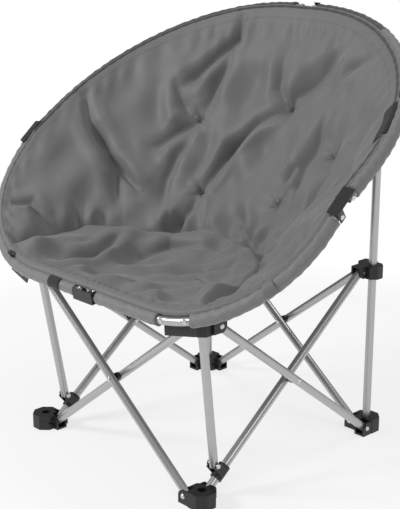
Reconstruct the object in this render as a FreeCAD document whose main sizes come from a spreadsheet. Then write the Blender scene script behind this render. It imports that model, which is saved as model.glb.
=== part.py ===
import FreeCAD, Part
import math
import os

from FreeCAD import Placement, Rotation, Vector

# Folding saucer chair: a padded saucer on a bent hoop in four tubes, on a square frame of crossed
# tubes that closes into a bundle. Millimetres. +X runs along the front from the sitter's right to
# the left, -Y is the front and +Z is up. The origin is on the floor, midway between the four feet.

os.makedirs("parts", exist_ok=True)
doc = FreeCAD.newDocument("folding_saucer_chair")

# Driving sizes
SIZES = {
    "tube_diameter": 16.0,
    "tube_wall": 1.2,
    "side_tube_pins": 520.0,
    "open_angle": 38.0,
    "pin_inset": 25.0,
    "foot_pin_height": 15.0,
    "tube_gap": 8.0,
    "tube_overhang": 4.2,
    "rivet_diameter": 5.0,
    "rivet_head_diameter": 10.0,
    "rivet_head_height": 1.6,
    "rivet_stand_off": 0.7,
    "running_clearance": 0.05,
    "side_clearance": 0.3,
    "foot_width": 50.0,
    "foot_height": 29.0,
    "foot_floor": 4.0,
    "hub_width": 38.0,
    "hub_skirt": 13.0,
    "hub_roof": 2.5,
    "fork_wall": 3.5,
    "fork_round": 11.5,
    "blind_pin_end": 2.5,
    "rear_post_top": 722.0,
    "post_seat": 5.0,
    "slider_station": 39.9,
    "slider_length": 30.0,
    "slider_wall": 3.4,
    "slider_pin_height": 26.0,
    "slider_cheek_width": 18.0,
    "slider_cheek_clearance": 0.9,
    "hoop_half_width": 417.0,
    "hoop_side_y": -98.0,
    "hoop_side_height": 558.0,
    "hoop_front_y": -292.0,
    "hoop_front_height": 352.0,
    "hoop_back_y": 283.0,
    "hoop_back_height": 819.0,
    "front_bend_radius": 250.0,
    "back_bend_radius": 388.0,
    "hoop_overhang": 7.0,
    "hinge_pins": 40.0,
    "hinge_overlap": 7.0,
    "hinge_web_height": 12.0,
    "hinge_clearance": 1.0,
    "hinge_sheet": 2.0,
    "hinge_skirt": 9.0,
    "ball_radius": 8.0,
    "front_ball_out": 7.564,
    "front_ball_in": -2.635,
    "front_ball_height": 353.071,
    "back_ball_out": -8.611,
    "back_ball_in": 3.697,
    "back_ball_height": 745.19,
    "bracket_length": 64.0,
    "bracket_rivet_spacing": 52.0,
    "bracket_sheet": 3.0,
    "bracket_stand_off": 1.3,
    "bracket_drop": 26.0,
    "bracket_rise": 3.0,
    "bracket_arm_radius": 3.6,
    "bracket_inset": 4.4,
    "post_head_radius": 14.0,
    "post_head_height": 26.0,
    "sleeve_thickness": 1.6,
    "seat_bottom_height": 300.0,
    "seat_rim_thickness": 14.0,
    "seat_thickness": 32.0,
    "seat_taper": 0.4,
    "seat_crown": 6.3,
    "seat_bowl_power": 2.2,
    "seat_front_sag": 0.03,
    "seat_back_sag": 0.13,
    "seat_rim_lift": 6.0,
    "seat_split_gap": 0.6,
    "seat_edge": 5.0,
    "seat_clearance": 0.8,
    "sleeve_gap": 4.0,
    "tuft_spacing": 88.0,
    "tuft_ball_radius": 45.0,
    "tuft_depth": 6.0,
}

sheet = doc.addObject("Spreadsheet::Sheet", "Sizes")
for row, (alias, amount) in enumerate(SIZES.items(), start=1):
    sheet.set("A%d" % row, alias)
    sheet.set("B%d" % row, str(amount))
    sheet.setAlias("B%d" % row, alias)
doc.recompute()


def size(alias):
    """The value of one driving size, read back from the sheet."""
    return float(sheet.get(alias))


def formula(text):
    """An expression on the sheet, from one written with the bare names of the sizes."""
    words = text.replace("(", "( ").replace(")", " )").split()
    return " ".join("Sizes." + word if word in SIZES else word for word in words)


# Fold: the front and back hoop tubes turn about these axes, by these angles, as the frame closes.
FRONT_FOLD = Vector(-1.4001, 0.7067, 0.9072)
BACK_FOLD = Vector(1.2021, -0.3002, -1.5937)
CLOSED_ANGLE = 80.0

X = Vector(1, 0, 0)
Y = Vector(0, 1, 0)
Z = Vector(0, 0, 1)

# Places worked out from the sizes
TUBE_RADIUS = size("tube_diameter") / 2
OPEN = math.radians(size("open_angle"))
CLOSED = math.radians(CLOSED_ANGLE)
RUN = size("side_tube_pins") * math.cos(OPEN)
POST = RUN / 2 + size("pin_inset")
CLOSED_POST = size("side_tube_pins") * math.cos(CLOSED) / 2 + size("pin_inset")
FOOT_PIN = size("foot_pin_height")
HUB_PIN = FOOT_PIN + size("side_tube_pins") * math.sin(OPEN)
CLOSED_HUB_PIN = FOOT_PIN + size("side_tube_pins") * math.sin(CLOSED)
LAYER = TUBE_RADIUS + size("tube_gap") / 2
FORK_HALF = TUBE_RADIUS + size("side_clearance")
FORK_OUT = FORK_HALF + size("fork_wall")
END_REACH = math.hypot(size("tube_overhang"), TUBE_RADIUS) + 0.6

nodes = []


def node(label, item):
    """Give a finished sub-part its name and keep it for export."""
    item.Label = label
    nodes.append(item)
    return item


def primitive(kind, name, at, turn, sizes):
    """A Part primitive placed at a point, with its sizes bound to the sheet."""
    item = doc.addObject("Part::" + kind, name)
    for field, text in sizes.items():
        item.setExpression(field, formula(text))
    item.Placement = Placement(at, turn)
    return item


def rod(name, start, along, radius, height):
    """A cylinder from a start point along a direction."""
    turn = Rotation(Z, along)
    return primitive("Cylinder", name, start, turn, {"Radius": radius, "Height": height})


def block(name, corner, length, width, height):
    """A box from its lowest corner, square to the axes."""
    return primitive("Box", name, corner, Rotation(), {"Length": length, "Width": width, "Height": height})


def fused(name, items):
    """One solid from several that meet."""
    item = doc.addObject("Part::MultiFuse", name)
    item.Shapes = items
    item.Refine = True
    return item


def cut(name, base, tools):
    """A base with one or more tools taken away."""
    item = doc.addObject("Part::Cut", name)
    item.Base = base
    item.Tool = tools[0] if len(tools) == 1 else fused(name + "_tools", tools)
    return item


def grouped(name, items):
    """Alike solids kept apart in one sub-part."""
    item = doc.addObject("Part::Compound", name)
    item.Links = items
    return item


def feature(name, shape):
    """A sub-part whose shape is worked out here from the sheet's sizes."""
    item = doc.addObject("Part::Feature", name)
    item.Shape = shape
    item.Placement = Placement()
    return item


# Tubes and rivets
RIVET_BORE = "rivet_diameter / 2 + running_clearance"


def rivet_hole(name, centre, axis, reach):
    """A hole for a rivet, running both ways from a centre; reach is a size expression."""
    start = centre - axis * (size("tube_diameter") * 1.5)
    return rod(name, start, axis, RIVET_BORE, reach)


def hollow_tube(name, start, along, length, holes):
    """A straight tube with rivet holes, each hole a centre and an axis."""
    outer = rod(name + "_outer", start, along, "tube_diameter / 2", length)
    tools = [rod(name + "_bore", start, along, "tube_diameter / 2 - tube_wall", length)]
    for index, (centre, axis) in enumerate(holes):
        tools.append(rivet_hole("%s_hole%d" % (name, index), centre, axis, "tube_diameter * 3"))
    return cut(name, outer, tools)


def rivet(name, head_face, inward, grip, heads=1):
    """A rivet whose first head stands on head_face; grip is its shank's length expression and value."""
    text, amount = grip
    shank = rod(name + "_shank", head_face, inward, "rivet_diameter / 2", text)
    if heads == 0:
        return shank
    pieces = [shank, rivet_head(name + "_head", head_face, inward * -1)]
    if heads == 2:
        pieces.append(rivet_head(name + "_tail", head_face + inward * amount, inward))
    return fused(name, pieces)


def rivet_head(name, face, outward):
    """A low domed head, as a short cone that narrows outwards."""
    sizes = {
        "Radius1": "rivet_head_diameter / 2",
        "Radius2": "rivet_head_diameter / 3",
        "Height": "rivet_head_height",
    }
    return primitive("Cone", name, face, Rotation(Z, outward), sizes)


FORK_GRIP = (
    "tube_diameter + side_clearance * 2 + fork_wall * 2",
    size("tube_diameter") + 2 * size("side_clearance") + 2 * size("fork_wall"),
)
BLIND_GRIP = (
    "tube_diameter + side_clearance * 2 + fork_wall * 2 - blind_pin_end",
    size("tube_diameter") + 2 * size("side_clearance") + 2 * size("fork_wall") - size("blind_pin_end"),
)
CROSS_GRIP = (
    "tube_diameter * 2 + tube_gap",
    2 * size("tube_diameter") + size("tube_gap"),
)


# Pins: one for each tube end, named by the tube's end in a foot or hub
class Pin:
    """A pin at a corner. runs is X for a front or rear tube and Y for a side tube; outer is its layer."""

    def __init__(self, sx, sy, runs, outer, height):
        layer = POST + (LAYER if outer else -LAYER)
        inset = POST - size("pin_inset")
        self.outer = outer
        if runs == "X":
            self.at = Vector(sx * inset, sy * layer, height)
            self.axis = Y
            self.inward = Vector(-sx, 0, 0)
            self.outside = Vector(0, sy, 0)
        else:
            self.at = Vector(sx * layer, sy * inset, height)
            self.axis = X
            self.inward = Vector(0, -sy, 0)
            self.outside = Vector(sx, 0, 0)


def side_tube(label, lower, upper):
    """One crossed tube between its two pins, with a hole at each pin and at the middle."""
    along = (upper.at - lower.at).normalize()
    start = lower.at - along * size("tube_overhang")
    middle = (lower.at + upper.at) * 0.5
    holes = [(lower.at, lower.axis), (middle, lower.axis), (upper.at, lower.axis)]
    tube = hollow_tube(label, start, along, "side_tube_pins + tube_overhang * 2", holes)
    return node(label, tube)


def span_box(name, first, second, low, high, length, width, height):
    """A box between two plan points and two heights, with size expressions for its three sides."""
    corner = Vector(min(first.x, second.x), min(first.y, second.y), low)
    return block(name, corner, length, width, height)


def oriented(pin, along, across):
    """Length and width expressions in the order that a box square to the axes needs."""
    return (along, across) if pin.axis == Y else (across, along)


def fork(name, pin, upright):
    """The wings that hold a tube's end: a round nose on the pin and a root that runs into the block.

    upright is True for a foot, whose fork opens upwards, and False for a hub, which opens down.
    """
    across = "tube_diameter + side_clearance * 2 + fork_wall * 2"
    half = pin.axis * FORK_OUT
    nose = rod(name + "_nose", pin.at - half, pin.axis, "fork_round", across)
    root_end = pin.at - pin.inward * (END_REACH * 2)
    reach = pin.at + pin.inward * size("fork_round")
    plan = oriented(pin, "%.4f" % (END_REACH * 2), across)
    low = pin.at.z - size("fork_round")
    root = span_box(name + "_root", pin.at - half, root_end - half, low, 0, *plan, "fork_round * 2")
    plan = oriented(pin, "fork_round + %.4f" % (END_REACH * 2), across)
    if upright:
        height = "foot_pin_height"
        base = span_box(name + "_base", reach - half, root_end - half, 0, 0, *plan, height)
    else:
        height = "%.4f + hub_roof" % END_REACH
        base = span_box(name + "_base", reach - half, root_end - half, pin.at.z, 0, *plan, height)
    return [nose, root, base]


def fork_slot(name, pin, upright):
    """The slot for the tube's end, open inwards and at the top of a foot or the bottom of a hub."""
    half = pin.axis * FORK_HALF
    reach = pin.at + pin.inward * (size("fork_round") * 2)
    end = pin.at - pin.inward * END_REACH
    along = "fork_round * 2 + %.4f" % END_REACH
    plan = oriented(pin, along, "tube_diameter + side_clearance * 2")
    if upright:
        return span_box(name, reach - half, end - half, size("foot_floor"), 0, *plan, "foot_height")
    low = pin.at.z - size("hub_skirt") - size("fork_round")
    height = "hub_skirt + fork_round + %.4f" % END_REACH
    return span_box(name, reach - half, end - half, low, 0, *plan, height)


def octagon(name, at, width, height):
    """An eight-sided block with flats facing the axes."""
    sizes = {"Circumradius": "%s / 2 / %.6f" % (width, math.cos(math.pi / 8)), "Height": height}
    prism = primitive("Prism", name, at, Rotation(Z, 22.5), sizes)
    prism.Polygon = 8
    return prism


def fork_rivets(label, pins, extra=()):
    """The rivets of one fitting: head outside on an outer tube, inside on an inner one.

    Where both tubes are inner ones their rivets would meet, so these are headless and stop short.
    """
    items = []
    blind = not any(pin.outer for pin in pins)
    for index, pin in enumerate(pins):
        if blind:
            face = pin.at + pin.outside * FORK_OUT
            items.append(rivet("%s_%d" % (label, index), face, pin.outside * -1, BLIND_GRIP, heads=0))
            continue
        outward = pin.outside if pin.outer else pin.outside * -1
        face = pin.at + outward * FORK_OUT
        items.append(rivet("%s_%d" % (label, index), face, outward * -1, FORK_GRIP))
    return node(label, grouped(label, items + list(extra)))


def foot(label, sx, sy, pins):
    """A black foot: an eight-sided block with a post socket and two forks."""
    centre = Vector(sx * POST, sy * POST, 0)
    solids = [octagon(label + "_block", centre, "foot_width", "foot_height")]
    socket_at = centre + Z * size("foot_floor")
    tools = [rod(label + "_socket", socket_at, Z, "tube_diameter / 2 + running_clearance", "foot_height")]
    for index, pin in enumerate(pins):
        name = "%s_fork%d" % (label, index)
        solids += fork(name, pin, True)
        tools.append(fork_slot(name + "_slot", pin, True))
        tools.append(rivet_hole(name + "_hole", pin.at, pin.axis, "tube_diameter * 3"))
    return node(label, cut(label, fused(label + "_body", solids), tools))


def hub_body(label, sx, sy, pins):
    """The block and forks of a hub, and the tools that cut its slots and rivet holes."""
    base = Vector(sx * POST, sy * POST, HUB_PIN - size("hub_skirt"))
    height = "hub_skirt + %.4f + hub_roof" % END_REACH
    solids = [octagon(label + "_block", base, "hub_width", height)]
    tools = []
    for index, pin in enumerate(pins):
        name = "%s_fork%d" % (label, index)
        solids += fork(name, pin, False)
        tools.append(fork_slot(name + "_slot", pin, False))
        tools.append(rivet_hole(name + "_hole", pin.at, pin.axis, "tube_diameter * 3"))
    return fused(label + "_body", solids), tools


# Corner pins
FR, FL, BR, BL = (1, -1), (-1, -1), (1, 1), (-1, 1)
PINS = {
    "front_outer": (Pin(*FR, "X", True, FOOT_PIN), Pin(*FL, "X", True, HUB_PIN)),
    "front_inner": (Pin(*FL, "X", False, FOOT_PIN), Pin(*FR, "X", False, HUB_PIN)),
    "rear_inner": (Pin(*BR, "X", False, FOOT_PIN), Pin(*BL, "X", False, HUB_PIN)),
    "rear_outer": (Pin(*BL, "X", True, FOOT_PIN), Pin(*BR, "X", True, HUB_PIN)),
    "right_inner": (Pin(*FR, "Y", False, FOOT_PIN), Pin(*BR, "Y", False, HUB_PIN)),
    "right_outer": (Pin(*BR, "Y", True, FOOT_PIN), Pin(*FR, "Y", True, HUB_PIN)),
    "left_inner": (Pin(*FL, "Y", False, FOOT_PIN), Pin(*BL, "Y", False, HUB_PIN)),
    "left_outer": (Pin(*BL, "Y", True, FOOT_PIN), Pin(*FL, "Y", True, HUB_PIN)),
}
SIDES = {"right": 1, "left": -1}

for key, (lower, upper) in PINS.items():
    side_tube("cross_tube_" + key, lower, upper)

# Crossing pivots: a rivet through both tubes, with a spacer between them
for side, outside in (("front", Y * -1), ("rear", Y), ("right", X), ("left", X * -1)):
    lower, upper = PINS[side + "_outer"]
    middle = (lower.at + upper.at) * 0.5
    head = middle + outside * TUBE_RADIUS
    label = "pivot_rivet_" + side
    node(label, rivet(label, head, outside * -1, CROSS_GRIP, heads=2))
    label = "pivot_spacer_" + side
    start = middle - outside * (TUBE_RADIUS + size("side_clearance"))
    length = "tube_gap - side_clearance * 2"
    ring = rod(label + "_ring", start, outside * -1, "tube_diameter / 2", length)
    bore = rod(label + "_bore", start, outside * -1, RIVET_BORE, length)
    node(label, cut(label, ring, [bore]))

# Feet
FOOT_PINS = {
    "front_right": (FR, ("front_outer", "right_inner")),
    "front_left": (FL, ("front_inner", "left_inner")),
    "rear_right": (BR, ("rear_inner", "right_outer")),
    "rear_left": (BL, ("rear_outer", "left_outer")),
}
for key, (corner, tubes) in FOOT_PINS.items():
    pins = [PINS[tube][0] for tube in tubes]
    foot("foot_" + key, *corner, pins)
    fork_rivets("foot_rivets_" + key, pins)


# Front posts, and the sliders that their lower ends seat in
def slider_frame(side):
    """Where a front post's slider sits on its inner side tube: its centre, the way along, the way up."""
    lower, upper = PINS[side + "_inner"]
    along = (upper.at - lower.at).normalize()
    up = X.cross(along)
    return lower.at + along * size("slider_station"), along, up


def front_post(side):
    """A front post, from its hub down to the pin over the slider; returns its pin and direction."""
    centre, along, up = slider_frame(side)
    pin = centre + up * size("slider_pin_height")
    top = Vector(SIDES[side] * POST, -POST, HUB_PIN)
    rise = (top - pin).normalize()
    start = pin - rise * size("tube_overhang")
    label = "front_post_" + side
    length = (top - start).Length + size("post_seat")
    post = hollow_tube(label, start, rise, "%.4f + post_seat" % (length - size("post_seat")), [(pin, X)])
    node(label, post)
    return pin, start, rise


def post_slider(side):
    """A sleeve that runs on the inner side tube, with two cheeks that end in open half-round seats."""
    centre, along, up = slider_frame(side)
    label = "post_slider_" + side
    start = centre - along * (size("slider_length") / 2)
    sleeve = rod(label + "_sleeve", start, along, "tube_diameter / 2 + slider_wall", "slider_length")
    cheek = size("slider_wall")
    gap = TUBE_RADIUS + size("slider_cheek_clearance")
    turn = Rotation(X, along, up, "XYZ")
    solids = [sleeve]
    for name, offset in (("_cheek_a", gap), ("_cheek_b", -gap - cheek)):
        corner = centre + X * offset - along * (size("slider_cheek_width") / 2)
        sizes = {"Length": "slider_wall", "Width": "slider_cheek_width", "Height": "slider_pin_height"}
        solids.append(primitive("Box", label + name, corner, turn, sizes))
    bore = rod(label + "_bore", start, along, "tube_diameter / 2 + running_clearance", "slider_length")
    seat_at = centre + up * size("slider_pin_height") - X * (size("tube_diameter") * 1.5)
    seat = rod(label + "_seat", seat_at, X, "rivet_diameter / 2 + side_clearance", "tube_diameter * 3")
    return node(label, cut(label, fused(label + "_body", solids), [bore, seat]))


# Front hubs: the post is pressed in from below, and the hoop's ball sits in a cup on top
HUB_PINS = {"right": ("front_inner", "right_outer"), "left": ("front_outer", "left_outer")}


def front_ball(side):
    """The centre of the ball that carries a front hoop tube on its hub."""
    x = SIDES[side] * (POST + size("front_ball_out"))
    return Vector(x, -POST + size("front_ball_in"), size("front_ball_height"))


def back_ball(side):
    """The centre of the ball that carries a back hoop tube on its post's head."""
    x = SIDES[side] * (POST + size("back_ball_out"))
    return Vector(x, POST - size("back_ball_in"), size("back_ball_height"))


def ball(name, centre, radius):
    """A sphere at a centre, with its radius expression."""
    return primitive("Sphere", name, centre, Rotation(), {"Radius": radius})


POST_RIVET_REACH = TUBE_RADIUS + size("slider_cheek_clearance") + size("slider_wall") + size("side_clearance")
POST_RIVET_GRIP = (
    "( tube_diameter / 2 + slider_cheek_clearance + slider_wall + side_clearance ) * 2",
    2 * POST_RIVET_REACH,
)

for side, sx in SIDES.items():
    pins = [PINS[tube][1] for tube in HUB_PINS[side]]
    post_pin, post_start, post_rise = front_post(side)
    post_slider(side)
    label = "front_hub_" + side
    body, tools = hub_body(label, sx, -1, pins)
    tools.append(rod(label + "_socket", post_start, post_rise, "tube_diameter / 2 + running_clearance",
                     "%.4f + post_seat" % (Vector(sx * POST, -POST, HUB_PIN) - post_start).Length))
    tools.append(ball(label + "_cup", front_ball(side), "ball_radius + side_clearance"))
    node(label, cut(label, body, tools))
    post_rivet = rivet("post_rivet_" + side, post_pin - X * POST_RIVET_REACH, X, POST_RIVET_GRIP, heads=2)
    fork_rivets("front_hub_rivets_" + side, pins, extra=[post_rivet])

# Rear slider hubs and posts
SLIDER_PINS = {"right": ("rear_outer", "right_inner"), "left": ("rear_inner", "left_inner")}


def rear_post(side):
    """A rear post, from the floor of its foot's socket up to its head."""
    at = Vector(SIDES[side] * POST, POST, size("foot_floor"))
    label = "rear_post_" + side
    return node(label, hollow_tube(label, at, Z, "rear_post_top - foot_floor", []))


def post_head(side):
    """The black head on a rear post, with a neck up to the open cup that the hoop's ball sits in."""
    label = "post_head_" + side
    top = size("rear_post_top")
    centre = Vector(SIDES[side] * POST, POST, top + size("hub_roof") - size("post_head_height"))
    cap = rod(label + "_cap", centre, Z, "post_head_radius", "post_head_height")
    cup_at = back_ball(side)
    cup = ball(label + "_cup", cup_at, "ball_radius + fork_wall")
    root = Vector(centre.x, centre.y, top)
    neck = rod(label + "_neck", root, cup_at - root, "ball_radius", "%.4f" % (cup_at - root).Length)
    socket_at = Vector(centre.x, centre.y, size("foot_floor"))
    socket = rod(label + "_socket", socket_at, Z, "tube_diameter / 2 + running_clearance",
                 "rear_post_top - foot_floor + running_clearance")
    hollow = ball(label + "_hollow", cup_at, "ball_radius + side_clearance")
    reach = size("ball_radius") * 2
    mouth = block(label + "_mouth", cup_at - Vector(reach, reach, 0), *["ball_radius * 4"] * 3)
    return node(label, cut(label, fused(label + "_body", [cap, cup, neck]), [socket, hollow, mouth]))


# The hoop: each quarter is a straight from the centre joint, a round bend, and a straight to the side
class Quarter:
    """The centre line of one quarter of the hoop, measured from its centre joint on x = 0."""

    def __init__(self, end, side):
        self.sx = SIDES[side]
        self.bend = size(end + "_bend_radius")
        self.origin = Vector(0, size("hoop_%s_y" % end), size("hoop_%s_height" % end))
        side_point = Vector(0, size("hoop_side_y"), size("hoop_side_height"))
        rise = side_point - self.origin
        self.length_up = rise.Length
        self.up = rise.normalize()
        self.straight = size("hoop_half_width") - self.bend
        self.turn = self.bend * math.pi / 2
        self.total = self.straight + self.turn + self.length_up - self.bend

    def at(self, run):
        """The point at a distance along the centre line."""
        if run <= self.straight:
            out, up = run, 0.0
        elif run <= self.straight + self.turn:
            angle = (run - self.straight) / self.bend
            out = self.straight + self.bend * math.sin(angle)
            up = self.bend * (1 - math.cos(angle))
        else:
            out = self.straight + self.bend
            up = self.bend + run - self.straight - self.turn
        return self.origin + X * (self.sx * out) + self.up * up

    def way(self, run):
        """The direction of the centre line, away from the centre joint."""
        angle = min(max(run - self.straight, 0.0) / self.bend, math.pi / 2)
        return X * (self.sx * math.cos(angle)) + self.up * math.sin(angle)

    def run_at(self, out):
        """The distance along the bend at which the centre line stands this far from x = 0."""
        return self.straight + self.bend * math.asin((out - self.straight) / self.bend)

    def path(self, first, last):
        """A wire along the centre line between two distances."""
        bend_start = self.straight
        bend_end = self.straight + self.turn
        edges = []
        if first < bend_start - 0.01:
            edges.append(Part.LineSegment(self.at(first), self.at(min(last, bend_start))).toShape())
        start, stop = max(first, bend_start), min(last, bend_end)
        if stop > start + 0.01:
            arc = Part.Arc(self.at(start), self.at((start + stop) / 2), self.at(stop))
            edges.append(arc.toShape())
        if last > bend_end + 0.01:
            edges.append(Part.LineSegment(self.at(max(first, bend_end)), self.at(last)).toShape())
        return Part.Wire(edges)

    def pipe(self, radius, first, last):
        """A round solid along the centre line between two distances."""
        ring = Part.Wire(Part.makeCircle(radius, self.at(first), self.way(first)))
        return self.path(first, last).makePipeShell([ring], True, False)


QUARTERS = {(end, side): Quarter(end, side) for end in ("front", "back") for side in SIDES}
HOOP_END = size("hinge_pins") / 2 - size("hoop_overhang")


def hoop_seat(end, side):
    """Where a hoop bracket meets its tube: the point, the tube's way there and the run."""
    quarter = QUARTERS[end, side]
    run = quarter.run_at(POST - size("bracket_inset"))
    return quarter.at(run), quarter.way(run), run


def fold_vector(end, side):
    """The turn of a hoop tube over the fold, about its ball; the left side mirrors the right."""
    turn = FRONT_FOLD if end == "front" else BACK_FOLD
    return turn if side == "right" else Vector(turn.x, -turn.y, -turn.z)


def fold_rotation(end, side):
    """The same turn as a rotation."""
    turn = fold_vector(end, side)
    return Rotation(turn, math.degrees(turn.Length))


def folded(point, end, side):
    """Where a point of a hoop tube goes when the frame is closed."""
    centre = front_ball(side) if end == "front" else back_ball(side)
    shift = CLOSED_POST - POST
    if end == "front":
        moved = Vector(SIDES[side] * shift, -shift, CLOSED_HUB_PIN - HUB_PIN)
    else:
        moved = Vector(SIDES[side] * shift, shift, 0)
    return centre + moved + fold_rotation(end, side).multVec(point - centre)


class Hinge:
    """One hinge of the hoop: its near and far pins, and the rivets' axis on the channel's tube."""

    def __init__(self, near, far):
        near_quarter, near_run = near
        far_quarter, far_run = far
        self.near = QUARTERS[near_quarter].at(near_run)
        self.far = QUARTERS[far_quarter].at(far_run)
        self.way = (self.far - self.near).normalize()
        closed_way = (folded(self.far, *far_quarter) - folded(self.near, *near_quarter)).normalize()
        seen = fold_rotation(*near_quarter).inverted().multVec(closed_way)
        self.axis = self.way.cross(seen).normalize()
        self.angle = math.degrees(self.way.getAngle(seen))
        self.web = self.way.cross(self.axis)


def centre_run():
    """The run of the pin beside a centre joint."""
    return size("hinge_pins") / 2


def side_run(quarter):
    """The run of the pin beside a side joint."""
    return quarter.total - size("hinge_pins") / 2


HINGES = {}
for name, end in (("front", "front"), ("top", "back")):
    HINGES[name] = Hinge(((end, "right"), centre_run()), ((end, "left"), centre_run()))
for side in SIDES:
    near = (("front", side), side_run(QUARTERS["front", side]))
    far = (("back", side), side_run(QUARTERS["back", side]))
    HINGES[side] = Hinge(near, far)

HINGE_RIVET_REACH = TUBE_RADIUS + size("hinge_clearance") + size("side_clearance") + size("hinge_sheet")
TUBE_RIVET_REACH = TUBE_RADIUS + size("rivet_stand_off")
NEAR_GRIP = (
    "( tube_diameter / 2 + hinge_clearance + side_clearance + hinge_sheet ) * 2",
    2 * HINGE_RIVET_REACH,
)
FAR_GRIP = ("tube_diameter + rivet_stand_off * 2", 2 * TUBE_RIVET_REACH)
BRACKET_GRIP = (
    "tube_diameter + rivet_stand_off + bracket_stand_off + bracket_sheet",
    TUBE_RIVET_REACH + TUBE_RADIUS + size("bracket_stand_off") + size("bracket_sheet"),
)


def bracket_frame(end, side):
    """A hoop bracket's place: tube point, way along the tube, way towards the ball, way across."""
    seat, way, run = hoop_seat(end, side)
    centre = front_ball(side) if end == "front" else back_ball(side)
    to_ball = centre - seat
    towards = (to_ball - way * to_ball.dot(way)).normalize()
    across = way.cross(towards)
    if across.z < 0:
        across = across * -1
    return seat, way, towards, across, centre


def bracket_rivet_points(end, side):
    """The two points on the tube's centre line that a bracket's rivets go through."""
    quarter = QUARTERS[end, side]
    run = hoop_seat(end, side)[2]
    half = size("bracket_rivet_spacing") / 2
    return [quarter.at(run - half), quarter.at(run + half)]


def bracket_drop(end):
    """How far a bracket's plate reaches below its tube's centre line."""
    return size("bracket_drop") if end == "front" else TUBE_RADIUS


def bracket_root(seat, towards):
    """Where a bracket's arm leaves its plate."""
    return seat + towards * (TUBE_RADIUS + size("bracket_stand_off") + size("bracket_sheet") / 2)


def hoop_bracket(end, side):
    """A plate riveted along the tube, with an arm that ends in the ball."""
    seat, way, towards, across, centre = bracket_frame(end, side)
    label = "hoop_bracket_%s_%s" % ("front" if end == "front" else "rear", side)
    stand = TUBE_RADIUS + size("bracket_stand_off")
    turn = Rotation(way, across, way.cross(across), "XYZ")
    corner = seat + towards * stand - way * (size("bracket_length") / 2) - across * bracket_drop(end)
    if way.cross(across).dot(towards) < 0:
        corner = corner + towards * size("bracket_sheet")
    width = "bracket_drop + bracket_rise" if end == "front" else "tube_diameter / 2 + bracket_rise"
    sizes = {"Length": "bracket_length", "Width": width, "Height": "bracket_sheet"}
    plate = primitive("Box", label + "_plate", corner, turn, sizes)
    root = bracket_root(seat, towards)
    arm = rod(label + "_arm", root, centre - root, "bracket_arm_radius", "%.4f" % (centre - root).Length)
    knob = ball(label + "_ball", centre, "ball_radius")
    holes = []
    for index, point in enumerate(bracket_rivet_points(end, side)):
        holes.append(rivet_hole("%s_hole%d" % (label, index), point, towards, "tube_diameter * 3"))
    return node(label, cut(label, fused(label + "_body", [plate, arm, knob]), holes))


def hoop_tube(end, side):
    """One bent quarter tube of the hoop, drilled for its hinge pins and bracket rivets."""
    quarter = QUARTERS[end, side]
    first, last = HOOP_END, quarter.total - HOOP_END
    shape = quarter.pipe(TUBE_RADIUS, first, last)
    shape = shape.cut(quarter.pipe(TUBE_RADIUS - size("tube_wall"), first, last))
    holes = hoop_pins(end, side)
    towards = bracket_frame(end, side)[2]
    holes += [(point, towards) for point in bracket_rivet_points(end, side)]
    radius = size("rivet_diameter") / 2 + size("running_clearance")
    for point, axis in holes:
        start = point - axis * size("tube_diameter")
        shape = shape.cut(Part.makeCylinder(radius, 2 * size("tube_diameter"), start, axis))
    label = "hoop_tube_%s_%s" % ("front" if end == "front" else "rear", side)
    return node(label, feature(label, shape))


def hoop_pins(end, side):
    """The hinge pins of one hoop tube: at its centre joint and at its side joint."""
    centre_hinge = HINGES["front" if end == "front" else "top"]
    side_hinge = HINGES[side]
    centre_pin = centre_hinge.near if side == "right" else centre_hinge.far
    side_pin = side_hinge.near if end == "front" else side_hinge.far
    return [(centre_pin, centre_hinge.axis), (side_pin, side_hinge.axis)]


def hoop_rivets(end, side):
    """All rivets of one hoop tube: its two hinge pins and its two bracket rivets."""
    label = "hoop_rivets_%s_%s" % ("front" if end == "front" else "rear", side)
    near = (side == "right", end == "front")
    items = []
    for index, (point, axis) in enumerate(hoop_pins(end, side)):
        reach, grip = (HINGE_RIVET_REACH, NEAR_GRIP) if near[index] else (TUBE_RIVET_REACH, FAR_GRIP)
        items.append(rivet("%s_%d" % (label, index), point - axis * reach, axis, grip, heads=2))
    towards = bracket_frame(end, side)[2]
    for index, point in enumerate(bracket_rivet_points(end, side)):
        face = point - towards * TUBE_RIVET_REACH
        items.append(rivet("%s_b%d" % (label, index), face, towards, BRACKET_GRIP, heads=2))
    return node(label, grouped(label, items))


def sketch_on(body, name, role, outline):
    """A sketch of straight lines round a closed outline, on one of a body's own planes."""
    plane = next(item for item in body.Origin.OriginFeatures if item.Role == role)
    sketch = body.newObject("Sketcher::SketchObject", name)
    sketch.AttachmentSupport = (plane, [""])
    sketch.MapMode = "FlatFace"
    for first, second in zip(outline, outline[1:] + outline[:1]):
        sketch.addGeometry(Part.LineSegment(Vector(*first, 0), Vector(*second, 0)), False)
    return sketch


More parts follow.
